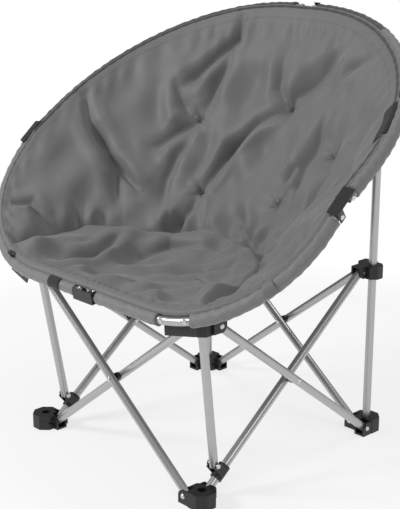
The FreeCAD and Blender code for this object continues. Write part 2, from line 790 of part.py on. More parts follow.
def hinge_channel(name, hinge):
    """A folded sheet channel: its web spans both pins, and its cheeks hold the near tube only."""
    label = "hinge_channel_" + name
    body = doc.addObject("PartDesign::Body", label)
    inner = TUBE_RADIUS + size("hinge_clearance")
    outer = inner + size("hinge_sheet")
    roof = size("hinge_web_height")
    top = roof + size("hinge_sheet")
    skirt = -size("hinge_skirt")
    outline = [(-outer, skirt), (-inner, skirt), (-inner, roof), (inner, roof)]
    outline += [(inner, skirt), (outer, skirt), (outer, top), (-outer, top)]
    section = sketch_on(body, label + "_section", "YZ_Plane", outline)
    pad = body.newObject("PartDesign::Pad", label + "_pad")
    pad.Profile = section
    pad.setExpression("Length", formula("hinge_pins + hinge_overlap * 2"))
    doc.recompute()
    reach = size("hinge_overlap")
    cheek_end = reach + size("hinge_overlap")
    far = size("hinge_pins") + 2 * reach + 1
    window = [(cheek_end, skirt - 1), (far, skirt - 1), (far, roof), (cheek_end, roof)]
    profile = sketch_on(body, label + "_window", "XZ_Plane", window)
    pocket = body.newObject("PartDesign::Pocket", label + "_pocket")
    pocket.Profile = profile
    pocket.Type = "ThroughAll"
    pocket.Midplane = True
    doc.recompute()
    plane = next(item for item in body.Origin.OriginFeatures if item.Role == "XZ_Plane")
    bore = body.newObject("Sketcher::SketchObject", label + "_bore")
    bore.AttachmentSupport = (plane, [""])
    bore.MapMode = "FlatFace"
    radius = size("rivet_diameter") / 2 + size("running_clearance")
    bore.addGeometry(Part.Circle(Vector(reach, 0, 0), Z, radius), False)
    hole = body.newObject("PartDesign::Pocket", label + "_hole")
    hole.Profile = bore
    hole.Type = "ThroughAll"
    hole.Midplane = True
    doc.recompute()
    turn = Rotation(hinge.way, hinge.axis, hinge.web, "XYZ")
    body.Placement = Placement(hinge.near - hinge.way * reach, turn)
    return node(label, body)


for side, sx in SIDES.items():
    rear_post(side)
    post_head(side)
    pins = [PINS[tube][1] for tube in SLIDER_PINS[side]]
    label = "rear_hub_" + side
    body, tools = hub_body(label, sx, 1, pins)
    bore_at = Vector(sx * POST, POST, HUB_PIN - 2 * size("hub_skirt"))
    tools.append(rod(label + "_bore", bore_at, Z, "tube_diameter / 2 + running_clearance", "hub_width * 2"))
    node(label, cut(label, body, tools))
    fork_rivets("rear_hub_rivets_" + side, pins)

for end in ("front", "back"):
    for side in SIDES:
        hoop_tube(end, side)
        hoop_bracket(end, side)
        hoop_rivets(end, side)
for name, hinge in HINGES.items():
    hinge_channel(name, hinge)


# The seat: four padded quarters of one dished cushion, each with its sewn sleeves round the hoop.
# Sections across the pad stand at these shares of its half width, at even steps round the bends.
SECTIONS = (0.0, 0.29, 0.54, 0.73, 0.86, 0.94, 1.0)

# Tufts on the back: how many spacings from the middle, and how far up the pad from the fold
TUFTS = ((0, 0.62), (2, 0.6), (1, 0.33))


def rim_point(end, out):
    """The hoop's centre line, as y and z, at a distance from x = 0."""
    quarter = QUARTERS[end, "right"]
    run = out if out <= quarter.straight else quarter.run_at(out)
    point = quarter.at(run)
    return Vector(0, point.y, point.z)


def rim_lift(end):
    """The way from the hoop to the cushion's edge: up at the front, square to the hoop at the back."""
    return Z if end == "front" else X.cross(QUARTERS["back", "right"].up * -1).normalize()


def split_height(out):
    """The cushion's underside where its front and back halves meet: a bowl that rises to the sides."""
    share = (out / size("hoop_half_width")) ** size("seat_bowl_power")
    low = size("seat_bottom_height")
    return low + (size("hoop_side_height") - low) * share


class Section:
    """An outline across the cushion at a distance from x = 0, without that distance."""

    def __init__(self, end, out):
        gap = size("seat_split_gap") / 2 * (-1 if end == "front" else 1)
        lift = rim_lift(end)
        self.under_rim = rim_point(end, out) + lift * size("seat_rim_lift")
        self.over_rim = self.under_rim + lift * size("seat_rim_thickness")
        spread = (out / size("hoop_half_width")) ** 2
        thick = size("seat_thickness") * (1 - size("seat_taper") * spread)
        self.under = Vector(0, size("hoop_side_y") + gap, split_height(out))
        self.over = self.under + Z * thick
        chord = self.under - self.under_rim
        down = Vector(0, chord.z, -chord.y).normalize()
        if down.z > 0:
            down = down * -1
        sag = chord.Length * size("seat_%s_sag" % end)
        self.under_mid = (self.under_rim + self.under) * 0.5 + down * sag
        self.over_mid = (self.over_rim + self.over) * 0.5 + down * (sag - size("seat_crown"))

    def wire(self, x):
        """The closed outline at x: underside, fold face, top and rim."""
        shift = X * x
        under_rim, under_mid, under, over, over_mid, over_rim = (
            point + shift
            for point in (self.under_rim, self.under_mid, self.under, self.over, self.over_mid, self.over_rim)
        )
        edges = [
            Part.Arc(under_rim, under_mid, under).toShape(),
            Part.LineSegment(under, over).toShape(),
            Part.Arc(over, over_mid, over_rim).toShape(),
            Part.LineSegment(over_rim, under_rim).toShape(),
        ]
        return Part.Wire(edges)

    def top(self, share):
        """The point of the top line at a share of its length from the fold, and its upward normal."""
        arc = Part.Arc(self.over, self.over_mid, self.over_rim)
        place = arc.FirstParameter + (arc.LastParameter - arc.FirstParameter) * share
        normal = X.cross(arc.tangent(place)[0]).normalize()
        return arc.value(place), normal if normal.z > 0 else normal * -1


def oriented_box(corner, turn, sizes):
    """A box from a corner, turned, as a plain shape for a clearance."""
    solid = Part.makeBox(*sizes)
    solid.Placement = Placement(corner, turn)
    return solid


def hinge_room(hinge):
    """The space that a hinge channel and its rivet heads need."""
    room = size("seat_clearance")
    across = HINGE_RIVET_REACH + size("rivet_head_height") + room
    before = size("hinge_overlap") + room
    low = size("hinge_skirt") + room
    high = size("hinge_web_height") + size("hinge_sheet") + room
    turn = Rotation(hinge.way, hinge.axis, hinge.web, "XYZ")
    corner = hinge.near - hinge.way * before - hinge.axis * across - hinge.web * low
    return oriented_box(corner, turn, (size("hinge_pins") + 2 * before, 2 * across, low + high))


def bracket_room(end, side):
    """The space that a hoop bracket, its ball and the cup round it need."""
    seat, way, towards, across, centre = bracket_frame(end, side)
    room = size("seat_clearance")
    drop = bracket_drop(end) + room
    rise = max(size("bracket_rise"), size("rivet_head_diameter") / 2) + room
    length = size("bracket_length") + 2 * room
    depth = TUBE_RADIUS + size("bracket_stand_off") + size("bracket_sheet") + size("rivet_head_height") + room
    corner = seat - way * (length / 2) - across * drop
    third = way.cross(across)
    if third.dot(towards) < 0:
        corner = corner + towards * depth
    rooms = [oriented_box(corner, Rotation(way, across, third, "XYZ"), (length, drop + rise, depth))]
    arm = size("bracket_arm_radius") + room
    root = bracket_root(seat, towards)
    rooms.append(Part.makeCylinder(arm, (centre - root).Length, root, centre - root))
    cup = size("ball_radius") + size("fork_wall") + room
    rooms.append(Part.makeSphere(cup, centre))
    if end == "back":
        head = Vector(SIDES[side] * POST, POST, size("rear_post_top") - size("post_head_height"))
        height = size("post_head_height") + size("hub_roof") + room
        rooms.append(Part.makeCylinder(size("post_head_radius") + room, height, head, Z))
        top = Vector(head.x, head.y, size("rear_post_top"))
        rooms.append(Part.makeCylinder(size("ball_radius") + room, (centre - top).Length, top, centre - top))
    else:
        reach = size("foot_width") * 0.75
        corner = Vector(SIDES[side] * POST - reach, -POST - reach, HUB_PIN)
        height = END_REACH + size("hub_roof") + room
        rooms.append(Part.makeBox(2 * reach, 2 * reach, height, corner))
    return rooms


def tuft_balls(side):
    """The balls that press the tufts into one back quarter of the cushion."""
    balls = []
    radius = size("tuft_ball_radius")
    for spacings, share in TUFTS:
        out = spacings * size("tuft_spacing")
        point, normal = Section("back", out).top(share)
        centre = point + X * (SIDES[side] * out) + normal * (radius - size("tuft_depth"))
        balls.append(Part.makeSphere(radius, centre))
    return balls


def seat_quarter(end, side):
    """One quarter of the cushion with its two sleeves, clear of the hoop, brackets and channels."""
    quarter = QUARTERS[end, side]
    first = size("seat_split_gap") / 2
    last = size("hoop_half_width") - size("seat_edge")
    outs = [first + (last - first) * share for share in SECTIONS]
    pad = Part.makeLoft([Section(end, out).wire(SIDES[side] * out) for out in outs], True, False)
    tube = TUBE_RADIUS + size("side_clearance")
    skin = tube + size("sleeve_thickness")
    centre_hinge = HINGES["front" if end == "front" else "top"]
    rooms = [hinge_room(centre_hinge), hinge_room(HINGES[side])] + bracket_room(end, side)
    if end == "back":
        rooms += tuft_balls(side)
    whole = quarter.pipe(skin + size("side_clearance"), 0, quarter.total)
    pad = pad.cut([whole] + rooms)
    run = hoop_seat(end, side)[2]
    half = size("bracket_length") / 2 + size("sleeve_gap")
    hinge_half = size("hinge_pins") / 2 + size("hinge_overlap") + size("sleeve_gap")
    solids = [solid for solid in pad.Solids if solid.Volume > size("seat_thickness") ** 3]
    for start, stop in ((hinge_half, run - half), (run + half, quarter.total - hinge_half)):
        sleeve = quarter.pipe(skin, start, stop).cut(quarter.pipe(tube, start, stop))
        solids += sleeve.Solids
    return solids


for end in ("front", "back"):
    for side in SIDES:
        label = "seat_%s_%s" % ("front" if end == "front" else "rear", side)
        node(label, feature(label, Part.makeCompound(seat_quarter(end, side))))


# Checks and export
doc.recompute()
for item in doc.Objects:
    if "Invalid" in item.State or "Error" in item.State:
        raise RuntimeError("%s did not build: %s" % (item.Label, item.State))
for item in nodes:
    shape = item.Shape
    if shape.isNull() or not shape.isValid() or not shape.Solids:
        raise RuntimeError("%s has no valid solid" % item.Label)
for item in nodes:
    item.Shape.exportStep("parts/%s.step" % item.Label)
print("%d sub-parts, %d solids" % (len(nodes), sum(len(item.Shape.Solids) for item in nodes)))
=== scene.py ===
"""Folding saucer chair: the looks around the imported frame. Metres, -Y is the front, +Z is up."""

from __future__ import annotations

import logging
import math
from dataclasses import dataclass, field
from enum import Enum
from typing import Sequence

import bmesh
import bpy
import numpy as np
from mathutils import Matrix, Vector

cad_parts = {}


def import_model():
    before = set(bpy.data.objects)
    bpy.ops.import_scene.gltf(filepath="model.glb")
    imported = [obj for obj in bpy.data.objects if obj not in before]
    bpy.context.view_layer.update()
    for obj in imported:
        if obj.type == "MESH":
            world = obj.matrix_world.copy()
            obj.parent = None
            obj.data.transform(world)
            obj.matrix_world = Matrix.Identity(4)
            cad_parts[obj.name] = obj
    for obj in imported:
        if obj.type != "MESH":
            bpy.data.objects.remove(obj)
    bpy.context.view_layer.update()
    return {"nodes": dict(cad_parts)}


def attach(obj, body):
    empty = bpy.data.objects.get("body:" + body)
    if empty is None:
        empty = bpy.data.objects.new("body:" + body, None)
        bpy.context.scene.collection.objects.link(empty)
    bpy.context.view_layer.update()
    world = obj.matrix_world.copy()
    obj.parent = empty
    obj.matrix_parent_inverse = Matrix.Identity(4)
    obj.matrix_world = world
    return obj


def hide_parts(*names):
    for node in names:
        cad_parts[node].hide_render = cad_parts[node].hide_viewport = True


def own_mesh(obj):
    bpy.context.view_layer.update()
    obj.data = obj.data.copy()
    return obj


LOG = logging.getLogger("saucer_chair")
Array = np.ndarray
Material = bpy.types.Material
Piece = bpy.types.Object


class End(Enum):
    """Which half of the hoop a piece belongs to."""

    FRONT = "front"
    REAR = "rear"


class Side(Enum):
    """The chair's right or left, as the picture shows it from the front; the value is the sign of x."""

    RIGHT = 1
    LEFT = -1


@dataclass(frozen=True)
class Quarter:
    """One of the hoop's four tubes, with the part of the seat that hangs on it."""

    end: End
    side: Side

    @property
    def name(self) -> str:
        """The end and side, as the names of pieces, solids and bodies spell them."""
        return "%s_%s" % (self.end.value, self.side.name.lower())

    @property
    def body(self) -> str:
        """The body that the tube belongs to."""
        return "hoop_" + self.name

    @property
    def seat(self) -> str:
        """The seat solid that the cloth stands for."""
        return "seat_" + self.name

    @property
    def out(self) -> Array:
        """The direction from the chair's middle to this side."""
        return np.array([self.side.value, 0, 0])

    def across(self) -> "Quarter":
        """The quarter on the other side of the chair's middle."""
        return Quarter(self.end, Side(-self.side.value))

    def beyond(self) -> "Quarter":
        """The quarter past the side hinge."""
        return Quarter(End.REAR if self.end is End.FRONT else End.FRONT, self.side)


QUARTERS = tuple(Quarter(end, side) for end in End for side in Side)
FRONT_RIGHT, FRONT_LEFT, REAR_RIGHT, REAR_LEFT = QUARTERS


# Curves and directions


def unit(vectors: Array) -> Array:
    """Vectors scaled to length one, along the last axis."""
    return vectors / np.maximum(np.linalg.norm(vectors, axis=-1, keepdims=True), 1e-12)


def smoothstep(low: float, high: float, values: Array) -> Array:
    """Rises from 0 at low to 1 at high, as 3t squared less 2t cubed."""
    share = np.clip((values - low) / (high - low), 0.0, 1.0)
    return share * share * (3.0 - 2.0 * share)


def bell(values: Array, width: float) -> Array:
    """1 at zero, and e to the minus square of the value over the width on both sides."""
    return np.exp(-(values / width) ** 2)


def blend(first: Array | float, second: Array | float, share: Array) -> Array:
    """The mean of two values, with the second weighted by a share."""
    return first * (1 - share) + second * share


def circle(count: int) -> Array:
    """Angles spread evenly over a full turn."""
    return np.linspace(0, 2 * math.pi, count, endpoint=False)


def sweep(angle: Array, first: Array, second: Array) -> Array:
    """Ways turned from one direction to another: cosine times the first plus sine times the second."""
    return np.cos(angle)[..., None] * first + np.sin(angle)[..., None] * second


def distances(path: Array) -> Array:
    """How far along a path each of its points is."""
    return np.concatenate([[0.0], np.cumsum(np.linalg.norm(np.diff(path, axis=0), axis=1))])


def around(run: float) -> Array:
    """A distance along the hoop with one a millimetre before it and one a millimetre after it."""
    return run + np.array([-0.001, 0.0, 0.001])


def place_and_way(three: Array) -> tuple[Array, Array]:
    """The middle one of three points, and the direction from the first to the last."""
    return three[1], unit(three[2] - three[0])


def read_off(values: Array, known: Array, wanted: Array) -> Array:
    """Rows of three numbers at wanted distances, in straight lines between the rows at known ones."""
    return np.stack([np.interp(wanted, known, column) for column in values.T], axis=1)


def near_line(points: Array, line: Array) -> tuple[Array, Array, Array]:
    """Where points stand by a run of straight pieces.

    On each piece the nearest place is the point's share along it, held between 0 and 1; the nearest
    piece of all gives the answer.

    Args:
        points: One row of x, y, z for each point.
        line: The corners of the run.

    Returns:
        The distance to the run, the share along it, and in plan 1 on its left and -1 on its right.
    """
    best = np.full(len(points), np.inf)
    where, side = np.zeros((2, len(points)))
    done = distances(line)
    for first, second, before, after in zip(line[:-1], line[1:], done[:-1], done[1:]):
        way, offset = second - first, points - first
        share = np.clip(offset @ way / (way @ way), 0, 1)
        away = np.linalg.norm(offset - share[:, None] * way, axis=1)
        closer = away < best
        best = np.where(closer, away, best)
        where = np.where(closer, blend(before, after, share) / done[-1], where)
        side = np.where(closer, np.sign(way[0] * offset[:, 1] - way[1] * offset[:, 0]), side)
    return best, where, side


# Mesh making


def grid_faces(rows: int, columns: int, loop: bool = False) -> list[list[int]]:
    """Quads over a grid of points stored row by row.

    Args:
        rows: How many rows the grid has.
        columns: How many points a row has.
        loop: Whether the last column is joined to the first.

    Returns:
        The vertex numbers of each quad.
    """
    last = columns if loop else columns - 1
    row, column = np.meshgrid(np.arange(rows - 1), np.arange(last), indexing="ij")
    following = (column + 1) % columns
    corners = (row * columns + column, row * columns + following,
               (row + 1) * columns + following, (row + 1) * columns + column)
    return np.stack(corners, axis=-1).reshape(-1, 4).tolist()


def ladder(line: Sequence[int]) -> list[list[int]]:
    """Quads that close a loop of vertices, as rungs between its first half and its second."""
    return [[line[i], line[i + 1], line[-2 - i], line[-1 - i]] for i in range(len(line) // 2 - 1)]


def cloth_uv(along: Array, across: Array) -> Array:
    """A grid's UVs: each row's distance and each column's, in metres."""
    return np.stack(np.broadcast_arrays(along[:, None], across), axis=-1).reshape(-1, 2)


def build(name: str, points: Array, faces: Sequence, finish: Material, uv: Array | None = None,
          smooth: bool | Array = True, closed: bool = True) -> Piece:
    """Make a mesh object from points and faces.

    Args:
        name: The piece's name.
        points: One row of x, y, z for each vertex.
        faces: Rows of vertex numbers.
        finish: The material of the whole piece.
        uv: One row of u, v for each vertex.
        smooth: Whether its faces are shaded smooth, all together or each by itself.
        closed: Whether it is a closed shell, whose faces are then all turned outwards.

    Returns:
        The new object, at the origin.
    """
    mesh = bpy.data.meshes.new(name)
    mesh.from_pydata(np.asarray(points, float).reshape(-1, 3).tolist(), [], faces)
    if uv is not None:
        corner = np.empty(len(mesh.loops), dtype=np.int32)
        mesh.loops.foreach_get("vertex_index", corner)
        layer = mesh.uv_layers.new(name="cloth")
        layer.data.foreach_set("uv", np.asarray(uv, np.float32)[corner].ravel())
    mesh.polygons.foreach_set("use_smooth", np.broadcast_to(smooth, len(faces)).tolist())
    mesh.materials.append(finish)
    mesh.update()
    if closed:
        shell = bmesh.new()
        shell.from_mesh(mesh)
        bmesh.ops.recalc_face_normals(shell, faces=shell.faces)
        shell.to_mesh(mesh)
        shell.free()
    piece = bpy.data.objects.new(name, mesh)
    bpy.context.scene.collection.objects.link(piece)
    return piece


def swept(name: str, path: Array, profile: Array, finish: Material, axes: tuple[Array, Array],
          scale: Array | float = 1.0) -> Piece:
    """Carry a closed profile along a path and close both ends with a cap.

    A point is the path's point plus the profile's first number along the first axis and its second
    along the second, both times the scale there.

    Args:
        name: The piece's name.
        path: The points that the profile follows.
        profile: Rows of two numbers, once round.
        finish: The material of the whole piece.
        axes: The profile's two directions, the same everywhere or one for each point of the path.
        scale: The profile's size, the same everywhere or one for each point of the path.

    Returns:
        The new object.
    """
    side, up = (np.broadcast_to(axis, path.shape)[:, None] for axis in axes)
    ring = (profile[:, :1] * side + profile[:, 1:] * up) * np.broadcast_to(scale, len(path))[:, None, None]
    count = len(profile)
    faces = grid_faces(len(path), count, loop=True)
    faces.append(list(range(count))[::-1])
    faces.append(list(range((len(path) - 1) * count, len(path) * count)))
    girth = 0.06
    uv = cloth_uv(distances(path), np.linspace(0, girth, count))
    return build(name, path[:, None] + ring, faces, finish, uv)


def oval(first: float, second: float, count: int) -> Array:
    """An ellipse of points: cosines times one half width and sines times the other."""
    return sweep(circle(count), np.array([first, 0.0]), np.array([0.0, second]))


def strap(width: float, thick: float) -> Array:
    """A flat strap's section: an ellipse with its cosines and sines to the power 0.4, signs kept."""
    round_section = oval(1.0, 1.0, 16)
    return np.sign(round_section) * np.abs(round_section) ** 0.4 * (width / 2, thick / 2)


# Materials


class Socket:
    """A number on a shader's wire; Python operators on it add Math nodes."""

    def __init__(self, wiring: "Wiring", source: bpy.types.NodeSocket) -> None:
        """Wrap an output socket."""
        self.wiring = wiring
        self.source = source

    def maths(self, operation: str, *others: "Socket | float") -> "Socket":
        """The result of one Math node on this number and the others."""
        return self.wiring.node("ShaderNodeMath", {"operation": operation}, self, *others)

    def __add__(self, other: "Socket | float") -> "Socket":
        """Sum."""
        return self.maths("ADD", other)

    __radd__ = __add__

    def __mul__(self, other: "Socket | float") -> "Socket":
        """Product."""
        return self.maths("MULTIPLY", other)

    __rmul__ = __mul__

    def __sub__(self, other: "Socket | float") -> "Socket":
        """Difference."""
        return self.maths("SUBTRACT", other)

    def __rsub__(self, other: float) -> "Socket":
        """A number less this one."""
        return self.wiring.node("ShaderNodeMath", {"operation": "SUBTRACT"}, other, self)


class Wiring:
    """A node tree whose nodes are all added with one method."""

    def __init__(self, tree: bpy.types.NodeTree) -> None:
        """Take a tree and empty it."""
        self.tree = tree
        self.tree.nodes.clear()

    def feed(self, socket: bpy.types.NodeSocket, value: object) -> None:
        """Give an input its value.

        Args:
            socket: The input.
            value: A Socket to link, a colour of three numbers, a number, or None to leave it alone.
        """
        if isinstance(value, Socket):
            self.tree.links.new(value.source, socket)
        elif value is not None:
            socket.default_value = (*value, 1.0) if isinstance(value, tuple) else value

    def add(self, kind: str, settings: dict, *inputs: object) -> bpy.types.Node:
        """Add one node.

        Args:
            kind: The node's type.
            settings: Its properties; "stops" holds the positions and colours of a colour ramp's two ends.
            inputs: What its inputs are fed, in order, or one dict that names them.

        Returns:
            The node.
        """
        made = self.tree.nodes.new(kind)
        for key, value in settings.items():
            if key == "stops":
                for element, (place, colour) in zip(made.color_ramp.elements, value):
                    element.position = place
                    element.color = (*colour, 1.0)
            else:
                setattr(made, key, value)
        named = inputs[0] if inputs and isinstance(inputs[0], dict) else dict(enumerate(inputs))
        for key, value in named.items():
            self.feed(made.inputs[key], value)
        return made

    def node(self, kind: str, settings: dict, *inputs: object, output: int | str = 0) -> Socket:
        """Add one node, as add does, and give back the output that is wanted."""
        return Socket(self, self.add(kind, settings, *inputs).outputs[output])

    def place(self, use: str = "Object") -> Socket:
        """The coordinates that patterns are drawn on."""
        return self.node("ShaderNodeTexCoord", {}, output=use)

    def noise(self, at: Socket, scale: float, detail: float = 3.0) -> Socket:
        """A cloudy pattern from 0 to 1, with scale counts to the metre."""
        return self.node("ShaderNodeTexNoise", {}, {"Vector": at, "Scale": scale, "Detail": detail})

    def wave(self, at: Socket, direction: str, scale: float) -> Socket:
        """Stripes from 0 to 1 along a direction, 3.18 to the metre for each 1 of scale."""
        return self.node("ShaderNodeTexWave", {"bands_direction": direction}, {"Vector": at, "Scale": scale})

    def mix(self, share: Socket | float, first: Socket | tuple, second: Socket | tuple) -> Socket:
        """A colour between two others."""
        return self.node("ShaderNodeMix", {"data_type": "RGBA"}, {0: share, 6: first, 7: second}, output=2)

    def bump(self, height: Socket, strength: float, distance: float) -> Socket:
        """A Normal from a height pattern."""
        return self.node("ShaderNodeBump", {}, {"Height": height, "Strength": strength, "Distance": distance})


class Shader(Wiring):
    """A material whose last node is a Principled shader."""

    def __init__(self, name: str) -> None:
        """Make an empty material with its Principled shader and its output.

        Args:
            name: The material's name.
        """
        self.material = bpy.data.materials.new(name)
        self.material.use_nodes = True
        super().__init__(self.material.node_tree)
        self.surface = self.add("ShaderNodeBsdfPrincipled", {})
        self.out = self.add("ShaderNodeOutputMaterial", {}, Socket(self, self.surface.outputs[0]))

    def finish(self, colour: Socket | tuple, rough: Socket | float, metallic: float = 0.0,
               normal: Socket | None = None, **constants: float) -> Material:
        """Feed the Principled shader.

        Args:
            colour: Its base colour.
            rough: Its roughness.
            metallic: Its metal share.
            normal: A bumped normal.
            constants: Its other inputs, with underscores for the spaces in their names.

        Returns:
            The material.
        """
        looks = {"Base Color": colour, "Roughness": rough, "Metallic": metallic, "Normal": normal}
        looks.update({key.replace("_", " "): value for key, value in constants.items()})
        for key, value in looks.items():
            self.feed(self.surface.inputs[key], value)
        return self.material


def tint(level: int, *shares: float) -> tuple[float, ...]:
    """A linear colour near a grey.

    The level as a share of 255 becomes linear by the picture's own curve: over 12.92 near black, and
    past that the share and 0.055 over 1.055, to the power 2.4.

    Args:
        level: The picture's grey level, 0 to 255.
        shares: How much of it is red, green and blue; one share serves all three.

    Returns:
        The three linear values.
    """
    share = level / 255.0
    tone = share / 12.92 if share <= 0.04045 else ((share + 0.055) / 1.055) ** 2.4
    return tuple(tone * part for part in (shares * 3)[:3])


@dataclass(frozen=True)
class PaddedPolyester:
    """Woven polyester with a satin face: a fine weave, a twill, soft blotches and fuzz."""

    name: str
    level: int
    sheen: float
    weave: float = 143.2437
    twill: float = 150.0

    def make(self) -> Material:
        """Build the material."""
        cloth = Shader(self.name)
        uv, at = cloth.place("UV"), cloth.place()
        weave = cloth.wave(uv, "X", self.weave) * 0.5 + cloth.wave(uv, "Y", self.weave) * 0.5
        blotch = cloth.noise(at, 9.0, 4.0)
        fuzz = cloth.noise(at, 420.0, 2.0)
        base = cloth.mix(blotch, tint(self.level, 0.86, 0.865, 0.87), tint(self.level, 1.1, 1.11, 1.11))
        threads = fuzz * 0.4 + cloth.wave(uv, "DIAGONAL", self.twill) * 0.35
        colour = cloth.mix(threads, base, tint(self.level, 0.8, 0.8, 0.81))
        return cloth.finish(colour, 0.5 + blotch * 0.12, normal=cloth.bump(weave + fuzz * 0.8, 0.25, 0.0004),
                            Sheen_Weight=self.sheen, Sheen_Roughness=0.45, Specular_IOR_Level=0.35)


@dataclass(frozen=True)
class Webbing:
    """Narrow woven tape, ribbed across its length."""

    name: str
    level: int
    ribs: float = 111.4118

    def make(self) -> Material:
        """Build the material."""
        tape = Shader(self.name)
        rib = tape.wave(tape.place("UV"), "X", self.ribs)
        fuzz = tape.noise(tape.place(), 600.0)
        colour = tape.mix(fuzz, tint(self.level, 0.8), tint(self.level, 1.25))
        return tape.finish(colour, 0.78 + fuzz * 0.1, normal=tape.bump(rib + fuzz * 0.4, 0.45, 0.0005),
                           Sheen_Weight=0.15)


@dataclass(frozen=True)
class SilverTube:
    """Powder-coated silver steel: a fine orange peel and faint streaks."""

    name: str = "silver_tube"
    level: int = 182

    def make(self) -> Material:
        """Build the material."""
        steel = Shader(self.name)
        at = steel.place()
        streak = steel.noise(at, 14.0, 5.0)
        colour = steel.mix(streak, tint(self.level, 0.88, 0.885, 0.89), tint(self.level, 1.06))
        peel = steel.bump(steel.noise(at, 900.0, 2.0), 0.02, 0.0002)
        return steel.finish(colour, 0.24 + streak * 0.1, metallic=0.75, normal=peel,
                            Coat_Weight=0.15, Coat_Roughness=0.25)


@dataclass(frozen=True)
class MouldedPlastic:
    """Black moulded plastic with a light texture and dull patches."""

    name: str = "black_moulding"
    level: int = 24
    rough: float = 0.38

    def make(self) -> Material:
        """Build the material."""
        plastic = Shader(self.name)
        at = plastic.place()
        patch = plastic.noise(at, 60.0)
        colour = plastic.mix(patch, tint(self.level, 0.75), tint(self.level, 1.4))
        grain = plastic.bump(plastic.noise(at, 1500.0, 2.0), 0.18, 0.0002)
        return plastic.finish(colour, self.rough + patch * 0.14, normal=grain)


@dataclass(frozen=True)
class BareRivet:
    """A bright zinc-plated rivet with a fine haze."""

    name: str = "zinc_rivet"

    def make(self) -> Material:
        """Build the material."""
        zinc = Shader(self.name)
        haze = zinc.noise(zinc.place(), 700.0)
        colour = zinc.mix(haze, (0.5, 0.5, 0.51), (0.72, 0.72, 0.73))
        return zinc.finish(colour, 0.22 + haze * 0.15, metallic=0.9, normal=zinc.bump(haze, 0.1, 0.0002))


@dataclass
class Finishes:
    """Every material of the chair, made once."""

    cushion: Material = field(default_factory=PaddedPolyester("padded_polyester", 112, 0.2).make)
    sleeve: Material = field(default_factory=PaddedPolyester("sleeve_polyester", 122, 0.18).make)
    binding: Material = field(default_factory=Webbing("edge_binding", 66).make)
    hem: Material = field(default_factory=Webbing("front_hem", 104).make)
    tape: Material = field(default_factory=Webbing("black_webbing", 30).make)
    tag: Material = field(default_factory=Webbing("bare_tag", 20, 222.8235).make)
    steel: Material = field(default_factory=SilverTube().make)
    plastic: Material = field(default_factory=MouldedPlastic().make)
    plate: Material = field(default_factory=MouldedPlastic("black_sheet_steel", 34, 0.3).make)
    rivet: Material = field(default_factory=BareRivet().make)
    thread: Material = field(default_factory=Webbing("stitch_thread", 74, 477.4789).make)


# The hoop and the cushion on it


@dataclass(frozen=True)
class Hoop:
    """The hoop's centre line in four quarters, each measured from its centre joint on x = 0."""

    half_width: float = 0.417
    side: tuple = (0.0, -0.098, 0.558)
    front: tuple = (0.0, -0.292, 0.352)
    back: tuple = (0.0, 0.283, 0.819)
    front_bend: float = 0.250
    back_bend: float = 0.388

    def measures(self, end: End) -> tuple[Array, Array, float, float, float]:
        """The sizes of one end's quarters.

        Args:
            end: The front or the rear.

        Returns:
            The start, the upward direction, the bend's radius, the first straight and the whole length.
        """
        start = np.array(self.front if end is End.FRONT else self.back)
        bend = self.front_bend if end is End.FRONT else self.back_bend
        rise = np.array(self.side) - start
        straight = self.half_width - bend
        total = straight + bend * math.pi / 2 + np.linalg.norm(rise) - bend
        return start, unit(rise), bend, straight, float(total)

    def length(self, quarter: Quarter) -> float:
        """The whole length of a quarter."""
        return self.measures(quarter.end)[4]

    def at(self, quarter: Quarter, run: Array) -> Array:
        """Points along a quarter: a straight, a quarter circle, and a straight.

        Args:
            quarter: Which quarter.
            run: Distances from its centre joint.

        Returns:
            One point for each distance.
        """
        start, up, bend, straight, _ = self.measures(quarter.end)
        turn = np.clip((run - straight) / bend, 0, math.pi / 2)
        out = np.clip(run, None, straight) + bend * np.sin(turn)
        rise = bend * (1 - np.cos(turn)) + np.maximum(run - straight - bend * math.pi / 2, 0)
        return start + out[..., None] * quarter.out + rise[..., None] * up

    def inward(self, quarter: Quarter, run: Array) -> Array:
        """Directions square to a quarter's tube, in its plane, towards the middle of the hoop."""
        _, up, bend, straight, _ = self.measures(quarter.end)
        return sweep(np.clip((run - straight) / bend, 0, math.pi / 2), up, -quarter.out)

    def lift(self, end: End) -> Array:
        """The way from the hoop to the cushion's edge: up in front, and square to the hoop's plane behind."""
        _, up, *_ = self.measures(End.REAR)
        square = np.array([0.0, up[2], -up[1]]) * np.sign(-up[1])
        return np.array([0.0, 0.0, 1.0]) if end is End.FRONT else square

    def square(self, end: End, tangent: Array) -> tuple[Array, Array]:
        """Two directions square to the tube.

        Args:
            end: The front or the rear.
            tangent: The tube's own directions.

        Returns:
            The way to the cushion's edge less its share along the tube, and the way square to both.
        """
        lift = self.lift(end)
        lift = unit(lift - tangent * (tangent @ lift)[..., None])
        return lift, np.cross(tangent, lift)


